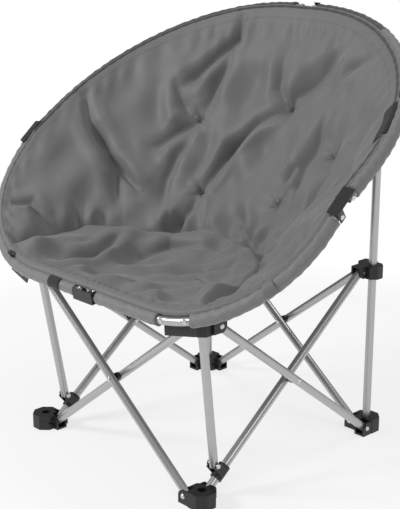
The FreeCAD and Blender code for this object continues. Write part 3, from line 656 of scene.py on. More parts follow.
@dataclass
class Saucer:
    """The cushion's shape: spokes from one low point out to the hoop.

    On a spoke the plan position goes straight from the low point to the edge, and the height is the
    low point's plus the edge's rise times the spoke's share to a power: about 1.5 at the front,
    where the seat slopes gently, and 2.1 at the sides and back. The edge's offsets are given for the
    front and for the rear. A crease is its depth, its width and the places it runs through.
    """

    hoop: Hoop
    middle: tuple = (0.0, -0.098, 0.334)
    edge_off: tuple = (0.018, 0.012)
    edge_inside: tuple = (0.005, 0.011)
    lean_from: float = 0.45
    front_power: float = 1.5
    back_power: float = 2.08
    power_rate: float = 1.2
    thick_middle: float = 0.032
    thick_edge: float = 0.011
    swell: float = 0.011
    wave_height: float = 0.0015
    waves: int = 26
    wave_lengths: tuple = (0.05, 0.16)
    bend_length: float = 0.3
    tuft_depth: float = 0.013
    tuft_width: float = 0.024
    button_depth: float = 0.007
    button_width: float = 0.006
    fold_drop: float = 0.028
    fold_ridge: float = 0.010
    fold_width: float = 0.024
    pucker: float = 0.0075
    pucker_width: float = 0.017
    gather_height: float = 0.0022
    tufts: tuple = ((-0.170, 0.145, 0.593), (0.042, 0.190, 0.635), (-0.098, 0.080, 0.460),
                    (0.210, 0.120, 0.575), (0.110, 0.085, 0.470))
    fold: tuple = ((-0.268, -0.300), (-0.257, -0.271), (-0.253, -0.230), (-0.250, -0.163), (-0.233, -0.117),
                   (-0.180, -0.061), (-0.106, -0.003), (-0.042, 0.033), (0.030, 0.036), (0.096, 0.019),
                   (0.165, -0.020), (0.222, -0.080), (0.250, -0.150), (0.262, -0.220), (0.270, -0.300))
    creases: tuple = (
        (0.010, 0.011, ((-0.144, 0.245, 0.794), (-0.143, 0.228, 0.750), (-0.194, 0.185, 0.686),
                        (-0.223, 0.158, 0.654))),
        (0.007, 0.012, ((-0.139, 0.226, 0.745), (-0.145, 0.202, 0.692), (-0.168, 0.148, 0.596))),
        (0.010, 0.010, ((0.040, 0.188, 0.632), (-0.018, 0.172, 0.597), (-0.063, 0.141, 0.542),
                        (-0.098, 0.081, 0.461))),
        (0.009, 0.013, ((-0.170, 0.144, 0.590), (-0.202, 0.112, 0.559), (-0.231, 0.073, 0.528))),
        (0.007, 0.014, ((-0.173, 0.141, 0.587), (-0.168, 0.115, 0.542), (-0.177, 0.061, 0.474),
                        (-0.150, 0.015, 0.415))),
        (0.008, 0.012, ((-0.097, 0.079, 0.458), (-0.097, 0.044, 0.418), (-0.106, 0.007, 0.389))),
        (0.012, 0.014, ((-0.387, 0.014, 0.629), (-0.352, 0.001, 0.574), (-0.307, 0.003, 0.526),
                        (-0.268, -0.006, 0.481), (-0.226, -0.033, 0.430))),
        (0.008, 0.011, ((-0.286, 0.007, 0.508), (-0.244, 0.010, 0.473), (-0.207, 0.010, 0.446))),
        (0.005, 0.010, ((0.191, 0.203, 0.722), (0.161, 0.171, 0.635), (0.154, 0.131, 0.559),
                        (0.149, 0.112, 0.526), (0.165, 0.044, 0.449))),
        (0.006, 0.012, ((0.248, 0.201, 0.764), (0.177, 0.204, 0.714), (0.153, 0.192, 0.674))),
        (0.008, 0.013, ((-0.249, 0.152, 0.667), (-0.218, 0.140, 0.618), (-0.193, 0.138, 0.596))),
        (0.006, 0.012, ((0.040, 0.190, 0.634), (0.000, 0.204, 0.666), (-0.006, 0.228, 0.720))),
        (0.006, 0.014, ((0.045, 0.190, 0.635), (0.097, 0.212, 0.694), (0.147, 0.237, 0.774))),
        (0.007, 0.010, ((-0.351, -0.212, 0.437), (-0.330, -0.176, 0.434), (-0.291, -0.178, 0.408))),
        (0.006, 0.009, ((0.137, 0.122, 0.536), (0.103, 0.109, 0.502))),
        (0.006, 0.010, ((0.021, 0.072, 0.435), (0.089, 0.026, 0.399))),
        (0.009, 0.010, ((-0.172, -0.224, 0.359), (-0.149, -0.165, 0.352), (-0.168, -0.078, 0.376))),
        (0.009, 0.011, ((-0.113, -0.086, 0.352), (-0.078, -0.023, 0.362), (0.053, 0.010, 0.380))),
        (0.007, 0.011, ((0.020, -0.230, 0.345), (0.060, -0.150, 0.336), (0.150, -0.120, 0.350))),
        (0.007, 0.010, ((-0.020, -0.120, 0.336), (0.060, -0.060, 0.345), (0.140, -0.050, 0.370))),
        (0.008, 0.012, ((0.250, 0.090, 0.560), (0.235, 0.040, 0.500), (0.215, -0.020, 0.430))),
        (0.008, 0.013, ((0.330, 0.020, 0.580), (0.290, -0.010, 0.510), (0.235, -0.050, 0.440))),
    )

    def edge(self, quarter: Quarter, run: Array) -> Array:
        """The cushion's top edge, off the hoop and a little inside it.

        The way off the hoop is straight up in front, and leans back from there to the sides.

        Args:
            quarter: Which quarter.
            run: Distances along its hoop tube.

        Returns:
            One point for each distance.
        """
        share = np.ones(len(run))[:, None]
        if quarter.end is End.FRONT:
            share = smoothstep(self.lean_from, 1.0, run / self.hoop.length(quarter))[:, None]
        lean = unit(blend(self.hoop.lift(End.FRONT), self.hoop.lift(End.REAR), share))
        return (self.hoop.at(quarter, run) + lean * blend(*self.edge_off, share)
                + self.hoop.inward(quarter, run) * blend(*self.edge_inside, share))

    def power(self, quarter: Quarter, run: Array) -> Array:
        """How fast each spoke climbs: from the front's power to the back's on the way to the side hinge.

        Args:
            quarter: Which quarter.
            run: Distances along its hoop tube.

        Returns:
            One power for each distance; behind, the back's power for all.
        """
        share = np.ones(len(run))
        if quarter.end is End.FRONT:
            share = np.minimum(run / self.hoop.length(quarter) * self.power_rate, 1.0)
        return self.front_power + (self.back_power - self.front_power) * share

    def plain(self, quarter: Quarter, run: Array, spoke: Array) -> Array:
        """The smooth top, before padding and creases.

        Args:
            quarter: Which quarter.
            run: Distances along its hoop tube.
            spoke: Shares of the way from the middle to the edge.

        Returns:
            A grid of points, a row for each run.
        """
        rim = self.edge(quarter, run)[:, None]
        middle = np.array(self.middle)
        climb = spoke ** self.power(quarter, run)[:, None]
        shares = np.stack(np.broadcast_arrays(spoke, spoke, climb), axis=-1)
        return middle + shares * (rim - middle)

    def padding(self, points: Array, spoke: Array) -> Array:
        """The pad's swell and its unevenness.

        The swell is 1 less the spoke's share to the power 12. The unevenness is a sum of slow sines
        along slanted directions, each bent by another sine.

        Args:
            points: The smooth top's points.
            spoke: The share of the way to the edge at each of them.

        Returns:
            A height for each point.
        """
        generator = np.random.default_rng(7)
        slow = np.zeros(len(points))
        for _ in range(self.waves):
            direction = unit(generator.normal(size=3))
            rate = 2 * math.pi / generator.uniform(*self.wave_lengths)
            bend = np.sin(points @ unit(generator.normal(size=3)) * 2 * math.pi / self.bend_length) * 0.6
            slow += np.sin(points @ direction * rate + bend + generator.uniform(0, 6.28))
        return self.swell * (1 - spoke ** 12) + smoothstep(1.0, 0.86, spoke) * self.wave_height * slow

    def valleys(self, points: Array) -> Array:
        """The creases and tufts.

        A crease is a narrow bell-shaped valley with a lower ridge on each side, faded at both ends. A
        tuft is a wide pointed bell with six faint rays round a small deep one.

        Args:
            points: The smooth top's points.

        Returns:
            A height for each point, below 0 in a valley.
        """
        height = np.zeros(len(points))
        for depth, width, line in self.creases:
            away, along, _ = near_line(points, np.array(line))
            fade = np.sin(np.clip(along, 0.02, 0.98) * math.pi) ** 0.5
            ridge, valley = bell(away - 2.3 * width, 1.2 * width), bell(away, 0.8 * width)
            height += fade * depth * (0.8 * ridge - 1.6 * valley)
        for tuft in self.tufts:
            offset = points - np.array(tuft)
            away = np.linalg.norm(offset, axis=1)
            rays = 1 + 0.25 * np.cos(6 * np.arctan2(offset[:, 2] + offset[:, 1], offset[:, 0]))
            height -= self.tuft_depth * np.exp(-(away / self.tuft_width) ** 1.3) * rays
            height -= self.button_depth * bell(away, self.button_width)
        return height

    def seat_fold(self, points: Array, spoke: Array) -> Array:
        """The fold where the seat meets the back, seen in plan.

        It is a sharp drop behind the seat that fills in again slowly, with short puckers on its back
        slope and a soft ridge in front of it.

        Args:
            points: The smooth top's points.
            spoke: The share of the way to the edge at each of them.

        Returns:
            A height for each point.
        """
        line = np.array([(*place, 0.0) for place in self.fold])
        away, along, side = near_line(points * (1.0, 1.0, 0.0), line)
        behind = away * side
        fade = smoothstep(0.0, 0.07, along) * smoothstep(1.0, 0.93, along) * smoothstep(1.0, 0.93, spoke)
        drop = smoothstep(-0.005, 0.006, behind) * np.exp(-np.maximum(behind, 0) / self.fold_width)
        puckers = np.sin(along * 96 + 1.6 * np.sin(along * 31)) * bell(behind - 0.024, self.pucker_width)
        ridge = bell(behind + 0.030, self.fold_width)
        return fade * (self.pucker * puckers - self.fold_drop * drop + self.fold_ridge * ridge)

    def relief(self, points: Array, spoke: Array) -> Array:
        """How far points of the smooth top stand out along the normal.

        Args:
            points: The smooth top's points.
            spoke: The share of the way to the edge at each of them.

        Returns:
            The padding, valleys and seat fold, and small gathers in a ring just inside the edge.
        """
        angle = np.arctan2(points[:, 1] + 0.1, points[:, 0])
        gathers = np.sin(angle * 61 + 2 * np.sin(angle * 9)) * bell(spoke - 0.955, 0.022)
        return (self.padding(points, spoke) + self.valleys(points) + self.seat_fold(points, spoke)
                + self.gather_height * gathers)


@dataclass(frozen=True)
class Leaf:
    """One slice of a quarter of the cushion: its grid columns and its stretch of the hoop."""

    quarter: Quarter
    number: int
    pick: slice
    start: float
    stop: float

    @property
    def name(self) -> str:
        """The end of its pieces' names."""
        return "%s_%d" % (self.quarter.name, self.number)


@dataclass
class Cushion:
    """The padded saucer in eight slices that meet without a seam and ride on their hoop tubes."""

    saucer: Saucer
    finishes: Finishes
    columns: int = 191
    rows: int = 150
    slices: int = 2
    gathered: float = 0.09
    fill: float = 0.45
    side_blend: float = 0.08
    middle_blend: float = 0.02
    binding_wide: float = 0.0044
    binding_tall: float = 0.0068
    stitch_row: int = -8
    stitch_pitch: float = 0.0052
    stitch_length: float = 0.0034
    stitch_half: float = 0.00035
    stitch_height: float = 0.0005
    stitch_lift: float = 0.0006
    tops: dict = field(default_factory=dict)
    shells: dict = field(default_factory=dict)

    def spokes(self) -> Array:
        """Shares along a spoke, closer together near the edge."""
        return 1 - (1 - np.linspace(0, 1, self.rows)) ** 1.25

    def runs(self, quarter: Quarter) -> Array:
        """Distances along the hoop, even from joint to joint."""
        return np.linspace(0, self.saucer.hoop.length(quarter), self.columns)

    def facing(self, quarter: Quarter) -> Array:
        """The smooth top's normals: the cross product of small differences along the hoop and the spoke.

        Args:
            quarter: Which quarter.

        Returns:
            A grid of directions, all of them upwards.
        """
        runs, spokes, small = self.runs(quarter), np.maximum(self.spokes(), 0.004), 1e-4
        plain = self.saucer.plain
        along = plain(quarter, runs + small, spokes) - plain(quarter, runs - small, spokes)
        outwards = plain(quarter, runs, spokes + small) - plain(quarter, runs, spokes - small)
        normal = unit(np.cross(outwards, along))
        return np.where(normal[..., 2:3] < 0, -normal, normal)

    def surface(self, quarter: Quarter) -> tuple[Array, Array]:
        """One quarter's dressed top: the smooth one plus its relief along the normal.

        Where quarters meet, both take one normal: square to x on the chair's middle, and the mean of
        the two at the sides.

        Args:
            quarter: Which quarter.

        Returns:
            The grid of points, and the normals it is raised along.
        """
        if quarter not in self.tops:
            runs, spokes = self.runs(quarter), self.spokes()
            base = self.saucer.plain(quarter, runs, spokes)
            normal = self.facing(quarter)
            shared = unit(normal[-1] + self.facing(quarter.beyond())[-1])
            near_side = smoothstep(runs[-1] - self.side_blend, runs[-1], runs)[:, None, None]
            normal = blend(normal, shared, near_side)
            normal[..., 0] *= smoothstep(-1e-6, self.middle_blend, runs)[:, None]
            normal[:, 0] = (0.0, 0.0, 1.0)
            normal = unit(normal)
            share = np.broadcast_to(spokes, base.shape[:2])
            relief = self.saucer.relief(base.reshape(-1, 3), share.reshape(-1)).reshape(share.shape)
            self.tops[quarter] = base + normal * relief[..., None], normal
        return self.tops[quarter]

    def rim(self, quarter: Quarter) -> tuple[Array, Array]:
        """The middle line of the binding, and the outward direction at each of its points."""
        top, normal = self.surface(quarter)
        return top[:, -1] - normal[:, -1] * self.saucer.thick_edge / 2, unit(top[:, -1] - top[:, -2])

    def shell(self, quarter: Quarter) -> Array:
        """Top, rounded edge and underside of a quarter as one grid, from the middle out and back again.

        The underside is the smooth top less the pad's thickness along the normal, which falls to the
        edge's with the cube of the spoke's share. The edge is half a circle between the two.

        Args:
            quarter: Which quarter.

        Returns:
            The grid, a row for each spoke.
        """
        if quarter not in self.shells:
            top, normal = self.surface(quarter)
            spokes = self.spokes()
            thick = blend(self.saucer.thick_middle, self.saucer.thick_edge, spokes ** 3)
            under = self.saucer.plain(quarter, self.runs(quarter), spokes) - normal * thick[:, None]
            middle, half = (top[:, -1] + under[:, -1]) / 2, (top[:, -1] - under[:, -1]) / 2
            half = np.linalg.norm(half, axis=1)[:, None, None]
            _, out = self.rim(quarter)
            turn = np.linspace(0, math.pi, 8)[1:-1]
            lip = middle[:, None] + sweep(turn, normal[:, -1:] * half, out[:, None] * half)
            self.shells[quarter] = np.concatenate([top, lip, under[:, ::-1]], axis=1)
        return self.shells[quarter]

    def shading(self, quarter: Quarter) -> Array:
        """Normals of a quarter's shell, from differences that reach into the quarters beside it.

        Args:
            quarter: Which quarter.

        Returns:
            A grid of directions, outwards all round.
        """
        own = self.shell(quarter)
        wide = np.concatenate([self.shell(quarter.across())[1:2], own, self.shell(quarter.beyond())[-2:-1]])
        normal = unit(np.cross(np.gradient(own, axis=1), wide[2:] - wide[:-2]))
        top_row = 10
        normal = normal * np.sign(normal[self.columns // 2, top_row, 2])
        normal[:, 0], normal[:, -1] = (0, 0, 1), (0, 0, -1)
        return normal

    def leaf(self, quarter: Quarter, run: float) -> Leaf:
        """The slice that a distance along the hoop falls in.

        Args:
            quarter: Which quarter.
            run: The distance.

        Returns:
            The slice.
        """
        step = (self.columns - 1) // self.slices
        length = self.saucer.hoop.length(quarter) / self.slices
        number = int(run / length)
        return Leaf(quarter, number, slice(number * step, (number + 1) * step + 1),
                    number * length, (number + 1) * length)

    def pad(self, leaf: Leaf) -> Piece:
        """One slice of the pad, closed along its two cut faces.

        The grid's first and last rows are the two poles, each one vertex with a fan of triangles. A cut
        face is a strip of quads between matching rows of the top and the underside.

        Args:
            leaf: The slice.

        Returns:
            The piece, with its normals set so that no seam shows.
        """
        grid, normal = self.shell(leaf.quarter)[leaf.pick], self.shading(leaf.quarter)[leaf.pick]
        columns, rows = grid.shape[0], grid.shape[1] - 2
        points, normals = (np.concatenate([each[:, 1:-1].reshape(-1, 3), each[:1, 0], each[:1, -1]])
                           for each in (grid, normal))
        above, below = columns * rows, columns * rows + 1
        faces = grid_faces(columns, rows)
        for first in range(0, (columns - 1) * rows, rows):
            faces += [[above, first, first + rows], [below, first + 2 * rows - 1, first + rows - 1]]
        skin = len(faces)
        for first in (0, (columns - 1) * rows):
            faces += ladder([above, *range(first, first + rows), below])
        slope = 0.7
        uv = points[:, :2] + points[:, 2:] * (0.0, slope)
        smooth = np.arange(len(faces)) < skin
        piece = build("cushion_" + leaf.name, points, faces, self.finishes.cushion, uv, smooth)
        piece.data.normals_split_custom_set_from_vertices(normals.tolist())
        return piece

    def binding(self, leaf: Leaf) -> Piece:
        """The tape folded over the cushion's edge: an oval carried along it, with a small wobble in size.

        Args:
            leaf: The slice whose edge is bound.

        Returns:
            The tape.
        """
        path, out = self.rim(leaf.quarter)
        wobble = 1 + 0.05 * np.sin(np.arange(len(path)) * 0.9)
        cloth = self.finishes.hem if leaf.quarter.end is End.FRONT else self.finishes.binding
        profile = oval(self.binding_wide, self.binding_tall, 18)
        axes = (out[leaf.pick], self.surface(leaf.quarter)[1][leaf.pick, -1])
        return swept("edge_binding_" + leaf.name, path[leaf.pick], profile, cloth, axes, wobble[leaf.pick])

    def stitches(self, leaf: Leaf) -> Piece:
        """A row of short raised threads beside the binding: each a low pyramid on a narrow diamond.

        Args:
            leaf: The slice whose edge is sewn.

        Returns:
            All its stitches as one piece.
        """
        top, normal = self.surface(leaf.quarter)
        lift = normal[leaf.pick, self.stitch_row]
        line = top[leaf.pick, self.stitch_row] + lift * self.stitch_lift
        along = distances(line)
        starts = np.arange(0.001, along[-1] - self.stitch_length, self.stitch_pitch)
        near, far = read_off(line, along, starts), read_off(line, along, starts + self.stitch_length)
        up = unit(read_off(lift, along, starts))
        half = np.cross(up, unit(far - near)) * self.stitch_half
        middle = (near + far) / 2
        points = np.stack([near, middle + half, far, middle - half, middle + up * self.stitch_height], axis=1)
        pyramid = np.array([(0, 1, 4), (1, 2, 4), (2, 3, 4), (3, 0, 4), (1, 0, 3), (1, 3, 2)])
        faces = (pyramid[:, None] + np.arange(len(starts))[:, None] * points.shape[1]).reshape(-1, 3)
        return build("edge_stitches_" + leaf.name, points, faces.tolist(), self.finishes.thread, smooth=False)

    def gather(self, piece: Piece, leaf: Leaf) -> None:
        """Let a piece ride on its hoop tube, with a mesh of its own.

        It works out the way to the cushion's middle, less that way's share along the slice's chord, and a
        point between the chord and the tube, but nothing uses them.

        Args:
            piece: The piece.
            leaf: The slice that it belongs to.
        """
        body = leaf.quarter.body
        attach(piece, body)
        stretch = np.array([leaf.start, (leaf.start + leaf.stop) / 2, leaf.stop])
        first, middle, last = self.saucer.edge(leaf.quarter, stretch)
        chord = unit(last - first)
        way = np.array(self.saucer.middle) - middle
        axis = unit(way - chord * (way @ chord))
        anchor = (first + last + 2 * middle) / 4
        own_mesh(piece)

    def make(self) -> None:
        """Build, dress and place every piece of the cushion."""
        for quarter in QUARTERS:
            length = self.saucer.hoop.length(quarter) / self.slices
            for number in range(self.slices):
                leaf = self.leaf(quarter, (number + 0.5) * length)
                pad = self.pad(leaf)
                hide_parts(quarter.seat)
                for piece in (pad, self.binding(leaf), self.stitches(leaf)):
                    self.gather(piece, leaf)
            LOG.info("cushion quarter %s: %d slices", quarter.name, self.slices)


@dataclass
class Sleeves:
    """The cloth sleeves round the hoop, and two bands over them."""

    hoop: Hoop
    finishes: Finishes
    radius: float = 0.0106
    lining: float = 0.0084
    bracket_half: float = 0.036
    hinge_half: float = 0.031
    bracket_out: float = 0.2254828
    row_pitch: float = 0.004
    hem_width: float = 0.004
    hem: float = 0.0007
    sag: float = 0.0006
    fin: float = 0.0015
    band_reach: float = 0.0134
    band_turn: float = 2.2
    band_thick: float = 0.0016

    def spans(self, quarter: Quarter) -> tuple:
        """The sleeved stretches of a quarter, up to the side hinge.

        Args:
            quarter: Which quarter.

        Returns:
            Starts and stops: one stretch over the bracket in front on the left, two that meet over it
            behind, and two with a gap at it in front on the right.
        """
        _, _, bend, straight, _ = self.hoop.measures(quarter.end)
        bracket = straight + bend * math.asin((self.bracket_out - straight) / bend)
        stop = self.hoop.length(quarter) - self.hinge_half
        if quarter == FRONT_LEFT:
            return ((self.hinge_half, stop),)
        gap = self.bracket_half if quarter == FRONT_RIGHT else 0.0
        return ((self.hinge_half, bracket - gap), (bracket + gap, stop))

    def sleeve(self, quarter: Quarter, number: int, start: float, stop: float) -> Piece:
        """One sleeve: a ring carried along the tube, drawn up by a seam on the cushion's side.

        Its radius is the tube's plus cloth, with slanted ripples, a flare at both hems and a little
        sag below; the seam side is pulled out into a low fin that meets the cushion.

        Args:
            quarter: Which quarter.
            number: The sleeve's number on it.
            start: Where it starts along the hoop.
            stop: Where it stops.

        Returns:
            The sleeve, its ends turned in to the tube.
        """
        run = np.linspace(start, stop, max(24, int((stop - start) / self.row_pitch)))
        path = self.hoop.at(quarter, run)
        lift, across = self.hoop.square(quarter.end, unit(np.gradient(path, axis=0)))
        angle, along = circle(40), run[:, None]
        seed = 3.0 * number + (1.7 if quarter.end is End.FRONT else 0.4) + quarter.side.value
        ripple = 0.0005 * np.sin(angle * 3 + along * 190 + seed) * np.sin(along * 47 + seed) \
            + 0.0004 * np.sin(angle * 2 - along * 320 + seed)
        flare = self.hem * (bell(along - start, self.hem_width) + bell(stop - along, self.hem_width))
        fin = self.fin * bell(np.minimum(angle, 2 * math.pi - angle), 0.55)
        reach = self.radius + ripple + flare + self.sag * (1 - np.cos(angle)) + fin
        ways = sweep(angle, lift[:, None], across[:, None])
        outer = path[:, None] + reach[..., None] * ways
        inner = path[:, None] + self.lining * ways
        sheet = np.concatenate([inner[:1], outer, inner[-1:]])
        uv = cloth_uv(np.concatenate([run[:1], run, run[-1:]]), angle * self.radius)
        dark = quarter == REAR_LEFT or (quarter == REAR_RIGHT and number == 0)
        cloth = self.finishes.binding if dark else self.finishes.sleeve
        faces = grid_faces(len(sheet), len(angle), loop=True)
        return build("hoop_sleeve_%s_%d" % (quarter.name, number), sheet, faces, cloth, uv)

    def band(self, name: str, quarter: Quarter, run: float, width: float, cloth: Material) -> Piece:
        """A webbing band over the top of the tube, open below: a strap's section carried round an arc.

        Args:
            name: The piece's name.
            quarter: Which quarter.
            run: Its place along the hoop.
            width: Its width.
            cloth: Its material.

        Returns:
            The band.
        """
        centre, tangent = place_and_way(self.hoop.at(quarter, around(run)))
        angle = np.linspace(-self.band_turn, self.band_turn, 30)
        radial = sweep(angle, *self.hoop.square(quarter.end, tangent))
        path = centre + self.band_reach * radial
        return swept(name, path, strap(width, self.band_thick), cloth, (tangent, radial))

    def make(self) -> None:
        """Build and place the sleeves and bands."""
        for quarter in QUARTERS:
            for number, (start, stop) in enumerate(self.spans(quarter)):
                piece = self.sleeve(quarter, number, start, stop)
                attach(piece, quarter.body)
                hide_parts(quarter.seat)
        for name, quarter, run, width, cloth in (
            ("hoop_band", FRONT_LEFT, 0.088, 0.032, self.finishes.tape),
            ("hoop_tab", FRONT_RIGHT, 0.412, 0.020, self.finishes.cushion),
        ):
            piece = self.band(name, quarter, run, width, cloth)
            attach(piece, quarter.body)
        LOG.info("hoop sleeves and bands placed")


@dataclass
class Trim:
    """The bare tag and the webbing loops on the rim."""

    saucer: Saucer
    finishes: Finishes
    tag_start: float = 0.476
    tag_length: float = 0.082
    tag_thick: float = 0.001
    tag_lift: float = 0.0014
    tag_wide: float = 0.0056
    tag_tall: float = 0.0082
    loop_reach: float = 0.012
    loop_rise: float = 0.0042
    loop_out: float = 0.002
    loop_drop: float = 0.004
    loop_thick: float = 0.0016
    loops: tuple = (("rim_loop_right", REAR_RIGHT, 0.450, 0.022), ("rim_loop_left", FRONT_LEFT, 0.236, 0.012))

    def tag(self, cushion: Cushion) -> Piece:
        """A tag folded over the edge: a strip of the cushion's face, lifted, then turned round the binding.

        Args:
            cushion: The cushion that it is sewn to.

        Returns:
            The tag, with its thickness inside.
        """
        top, normal = cushion.surface(REAR_RIGHT)
        centre, out = cushion.rim(REAR_RIGHT)
        step = self.saucer.hoop.length(REAR_RIGHT) / (cushion.columns - 1)
        pick = slice(round(self.tag_start / step), round((self.tag_start + self.tag_length) / step) + 1)
        strip, turn = (pick, slice(-9, -1)), np.linspace(1.2, -1.5, 14)
        beyond, above = out[pick, None], normal[pick, -1:]
        ways = np.concatenate([normal[strip], sweep(turn, beyond, above)], axis=1)
        wrap = centre[pick, None] + sweep(turn, self.tag_wide * beyond, self.tag_tall * above)
        shell = np.concatenate([top[strip] + normal[strip] * self.tag_lift, wrap], axis=1)
        sheet = np.concatenate([shell, (shell - ways * self.tag_thick)[:, ::-1]], axis=1)
        rows, columns = sheet.shape[:2]
        faces = grid_faces(rows, columns, loop=True)
        for first in (0, (rows - 1) * columns):
            faces += ladder(range(first, first + columns))
        uv = cloth_uv(np.arange(rows) * step, np.arange(columns) * 0.002)
        return build("rim_tag", sheet, faces, self.finishes.tag, uv)

    def loop(self, name: str, quarter: Quarter, run: float, width: float) -> Piece:
        """A short webbing loop that stands out from the rim: a strap's section round part of an oval.

        Args:
            name: The piece's name.
            quarter: Which quarter.
            run: Its place along the hoop.
            width: Its width.

        Returns:
            The loop.
        """
        place, tangent = place_and_way(self.saucer.edge(quarter, around(run)))
        lift = self.saucer.hoop.lift(quarter.end)
        out = unit(np.cross(tangent, lift))
        out = out * np.sign(out @ (place - np.array(self.saucer.middle)))
        angle = np.linspace(-0.6 * math.pi, 0.6 * math.pi, 24)
        half = self.loop_reach / 2
        centre = place + out * (self.loop_out + half) - lift * self.loop_drop
        path = centre + sweep(angle, out * half, lift * self.loop_rise)
        radial = np.cross(unit(np.gradient(path, axis=0)), tangent)
        return swept(name, path, strap(width, self.loop_thick), self.finishes.tape, (tangent, radial))

    def make(self, cushion: Cushion) -> None:
        """Build and place the trim on a cushion.

        Args:
            cushion: The cushion that carries it.
        """
        pieces = [(self.tag(cushion), REAR_RIGHT, self.tag_start + self.tag_length / 2)]
        for name, quarter, run, width in self.loops:
            pieces.append((self.loop(name, quarter, run, width), quarter, run))
        for piece, quarter, run in pieces:
            cushion.gather(piece, cushion.leaf(quarter, run))
        LOG.info("tag and loops placed")


@dataclass
class Frame:
    """The rigid pieces: finishes for the solids, and plugs in the open tube ends."""

    hoop: Hoop
    finishes: Finishes
    plug_radius: float = 0.0067
    cap_radius: float = 0.0076
    cap_rise: float = 0.0022
    plug_depth: float = 0.004
    shoulder: float = 0.0005
    tube_start: float = 0.013

    def finish_for(self, name: str) -> Material:
        """The material that a solid wears.

        Args:
            name: The solid's name.

        Returns:
            Its material.
        """
        if "rivet" in name:
            return self.finishes.rivet
        if name.startswith(("cross_tube", "front_post", "rear_post", "hoop_tube")):
            return self.finishes.steel
        if name.startswith(("hoop_bracket", "hinge_channel")):
            return self.finishes.plate
        return self.finishes.plastic

    def dress(self, nodes: dict) -> None:
        """Give every solid that stays its finish.

        Args:
            nodes: The frame's solids by name.
        """
        staying = {name: node for name, node in nodes.items() if not name.startswith("seat_")}
        for name, node in staying.items():
            if not node.material_slots:
                node.data.materials.append(self.finish_for(name))
            for slot in node.material_slots:
                slot.material = self.finish_for(name)
        LOG.info("%d solids dressed", len(staying))

    def plug(self, name: str, place: Array, way: Array) -> Piece:
        """A domed black plug in a tube's end: a ring that narrows to a cap along a quarter circle.

        Args:
            name: The piece's name.
            place: The middle of the tube's end.
            way: The direction out of the tube.

        Returns:
            The plug.
        """
        steps = np.linspace(0, math.pi / 2, 7)
        rise = np.concatenate([[-self.plug_depth, -self.shoulder], self.cap_rise * np.sin(steps)])
        reach = np.concatenate([[self.plug_radius] * 2, self.cap_radius * np.cos(steps) + 0.00001])
        helper = np.array([0.0, 0.0, 1.0]) if abs(way[2]) < 0.9 else np.array([1.0, 0.0, 0.0])
        side = unit(np.cross(way, helper))
        return swept(name, place + rise[:, None] * way, oval(1.0, 1.0, 24), self.finishes.plastic,
                     (side, np.cross(side, way)), reach)

    def hoop_plugs(self) -> None:
        """Plug the eight ends of the hoop's tubes."""
        for quarter in QUARTERS:
            ends = (("centre", self.tube_start, -1), ("side", self.hoop.length(quarter) - self.tube_start, 1))
            for end, run, sign in ends:
                place, way = place_and_way(self.hoop.at(quarter, around(run)))
                piece = self.plug("tube_plug_%s_%s" % (quarter.name, end), place, way * sign)
                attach(piece, quarter.body)
        LOG.info("hoop tubes plugged")


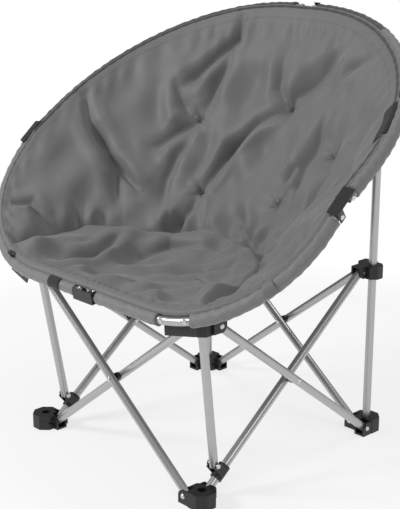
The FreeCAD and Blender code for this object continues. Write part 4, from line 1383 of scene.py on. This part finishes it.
@dataclass
class Studio:
    """A pale floor and backdrop, soft lamps and the picture's camera."""

    yaw: float = 46.41
    pitch: float = 16.56
    stand: tuple = (1.577, -1.517, 1.016)
    focal_pixels: float = 1172.0
    frame_pixels: float = 400.0
    sensor: float = 36.0
    aim: tuple = (0, 0, 0.45)
    lamps: tuple = (("key", (-1.7, -2.6, 2.0), 0.8, 72.0), ("fill", (2.8, -0.9, 1.6), 1.6, 17.0),
                    ("top", (0.5, 0.9, 2.9), 1.2, 16.0))
    sky_strength: float = 0.52
    fade_from: float = 0.2
    least_white: float = 0.72
    floor_reach: float = 12.0
    floor_drop: float = 0.0005

    def camera(self) -> None:
        """The camera that sees the chair as the picture does, for a frame of 400 by 509."""
        yaw, pitch = math.radians(self.yaw), math.radians(self.pitch)
        level = math.cos(pitch)
        forward = Vector((-math.sin(yaw) * level, math.cos(yaw) * level, -math.sin(pitch)))
        right = Vector((math.cos(yaw), math.sin(yaw), 0))
        lens = bpy.data.cameras.new("camera")
        lens.sensor_fit = "HORIZONTAL"
        lens.sensor_width = self.sensor
        lens.lens = self.focal_pixels / self.frame_pixels * self.sensor
        camera = bpy.data.objects.new("camera", lens)
        turn = Matrix((right, right.cross(forward), -forward)).transposed().to_4x4()
        camera.matrix_world = Matrix.Translation(self.stand) @ turn
        bpy.context.scene.collection.objects.link(camera)
        bpy.context.scene.camera = camera

    def lamp(self, name: str, place: Sequence[float], size: float, power: float) -> None:
        """A square area lamp that points at the chair's middle.

        Args:
            name: The lamp's name.
            place: Where it hangs.
            size: The length of its sides.
            power: Its watts.
        """
        light = bpy.data.lights.new(name, "AREA")
        light.shape = "SQUARE"
        light.size = size
        light.energy = power
        lamp = bpy.data.objects.new(name, light)
        lamp.location = place
        lamp.rotation_euler = (Vector(self.aim) - Vector(place)).to_track_quat("-Z", "Y").to_euler()
        bpy.context.scene.collection.objects.link(lamp)

    def world(self) -> None:
        """Soft light for the chair, dim from below and bright overhead, and white where the camera looks."""
        world = bpy.data.worlds.new("studio")
        bpy.context.scene.world = world
        world.use_nodes = True
        sky = Wiring(world.node_tree)
        height = sky.node("ShaderNodeSeparateXYZ", {}, sky.place("Generated"), output="Z")
        stops = ((0.05, (0.12, 0.12, 0.125)), (0.75, (1.0, 1.0, 1.0)))
        glow = sky.node("ShaderNodeValToRGB", {"stops": stops}, height)
        soft = sky.node("ShaderNodeBackground", {}, {"Color": glow, "Strength": self.sky_strength})
        white = sky.node("ShaderNodeBackground", {}, {"Color": (1.0, 1.0, 1.0), "Strength": 1.0})
        seen = sky.node("ShaderNodeLightPath", {}, output="Is Camera Ray")
        sky.add("ShaderNodeOutputWorld", {}, sky.node("ShaderNodeMixShader", {}, seen, soft, white))

    def floor(self) -> None:
        """A wide pale floor that fades to white away from the chair."""
        pale = Shader("studio_floor")
        pale.finish((0.95, 0.95, 0.95), 0.85, Specular_IOR_Level=0.1)
        away = pale.node("ShaderNodeVectorMath", {"operation": "LENGTH"}, pale.place(), output=1)
        fade = (away - self.fade_from).maths("MAXIMUM", self.least_white).maths("MINIMUM", 1.0)
        lit, white = Socket(pale, pale.surface.outputs[0]), pale.node("ShaderNodeEmission", {})
        pale.feed(pale.out.inputs[0], pale.node("ShaderNodeMixShader", {}, fade, lit, white))
        square = np.array([(-1, -1, 0), (1, -1, 0), (1, 1, 0), (-1, 1, 0)])
        corners = square * self.floor_reach - (0, 0, self.floor_drop)
        build("studio_floor", corners, [(0, 1, 2, 3)], pale.material, smooth=False, closed=False)

    def make(self) -> None:
        """Set the whole studio."""
        bpy.context.scene.view_settings.view_transform = "Standard"
        self.camera()
        self.world()
        self.floor()
        for name, place, size, power in self.lamps:
            self.lamp(name, place, size, power)
        LOG.info("studio set with %d lamps", len(self.lamps))


def main() -> None:
    """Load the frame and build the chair's looks."""
    logging.basicConfig(level=logging.INFO, format="%(name)s: %(message)s")
    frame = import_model()
    finishes = Finishes()
    hoop = Hoop()
    saucer = Saucer(hoop)
    Studio().make()
    rigid = Frame(hoop, finishes)
    rigid.dress(frame["nodes"])
    rigid.hoop_plugs()
    cushion = Cushion(saucer, finishes)
    cushion.make()
    Sleeves(hoop, finishes).make()
    Trim(saucer, finishes).make(cushion)
    LOG.info("sizes written")


if __name__ == "__main__":
    main()
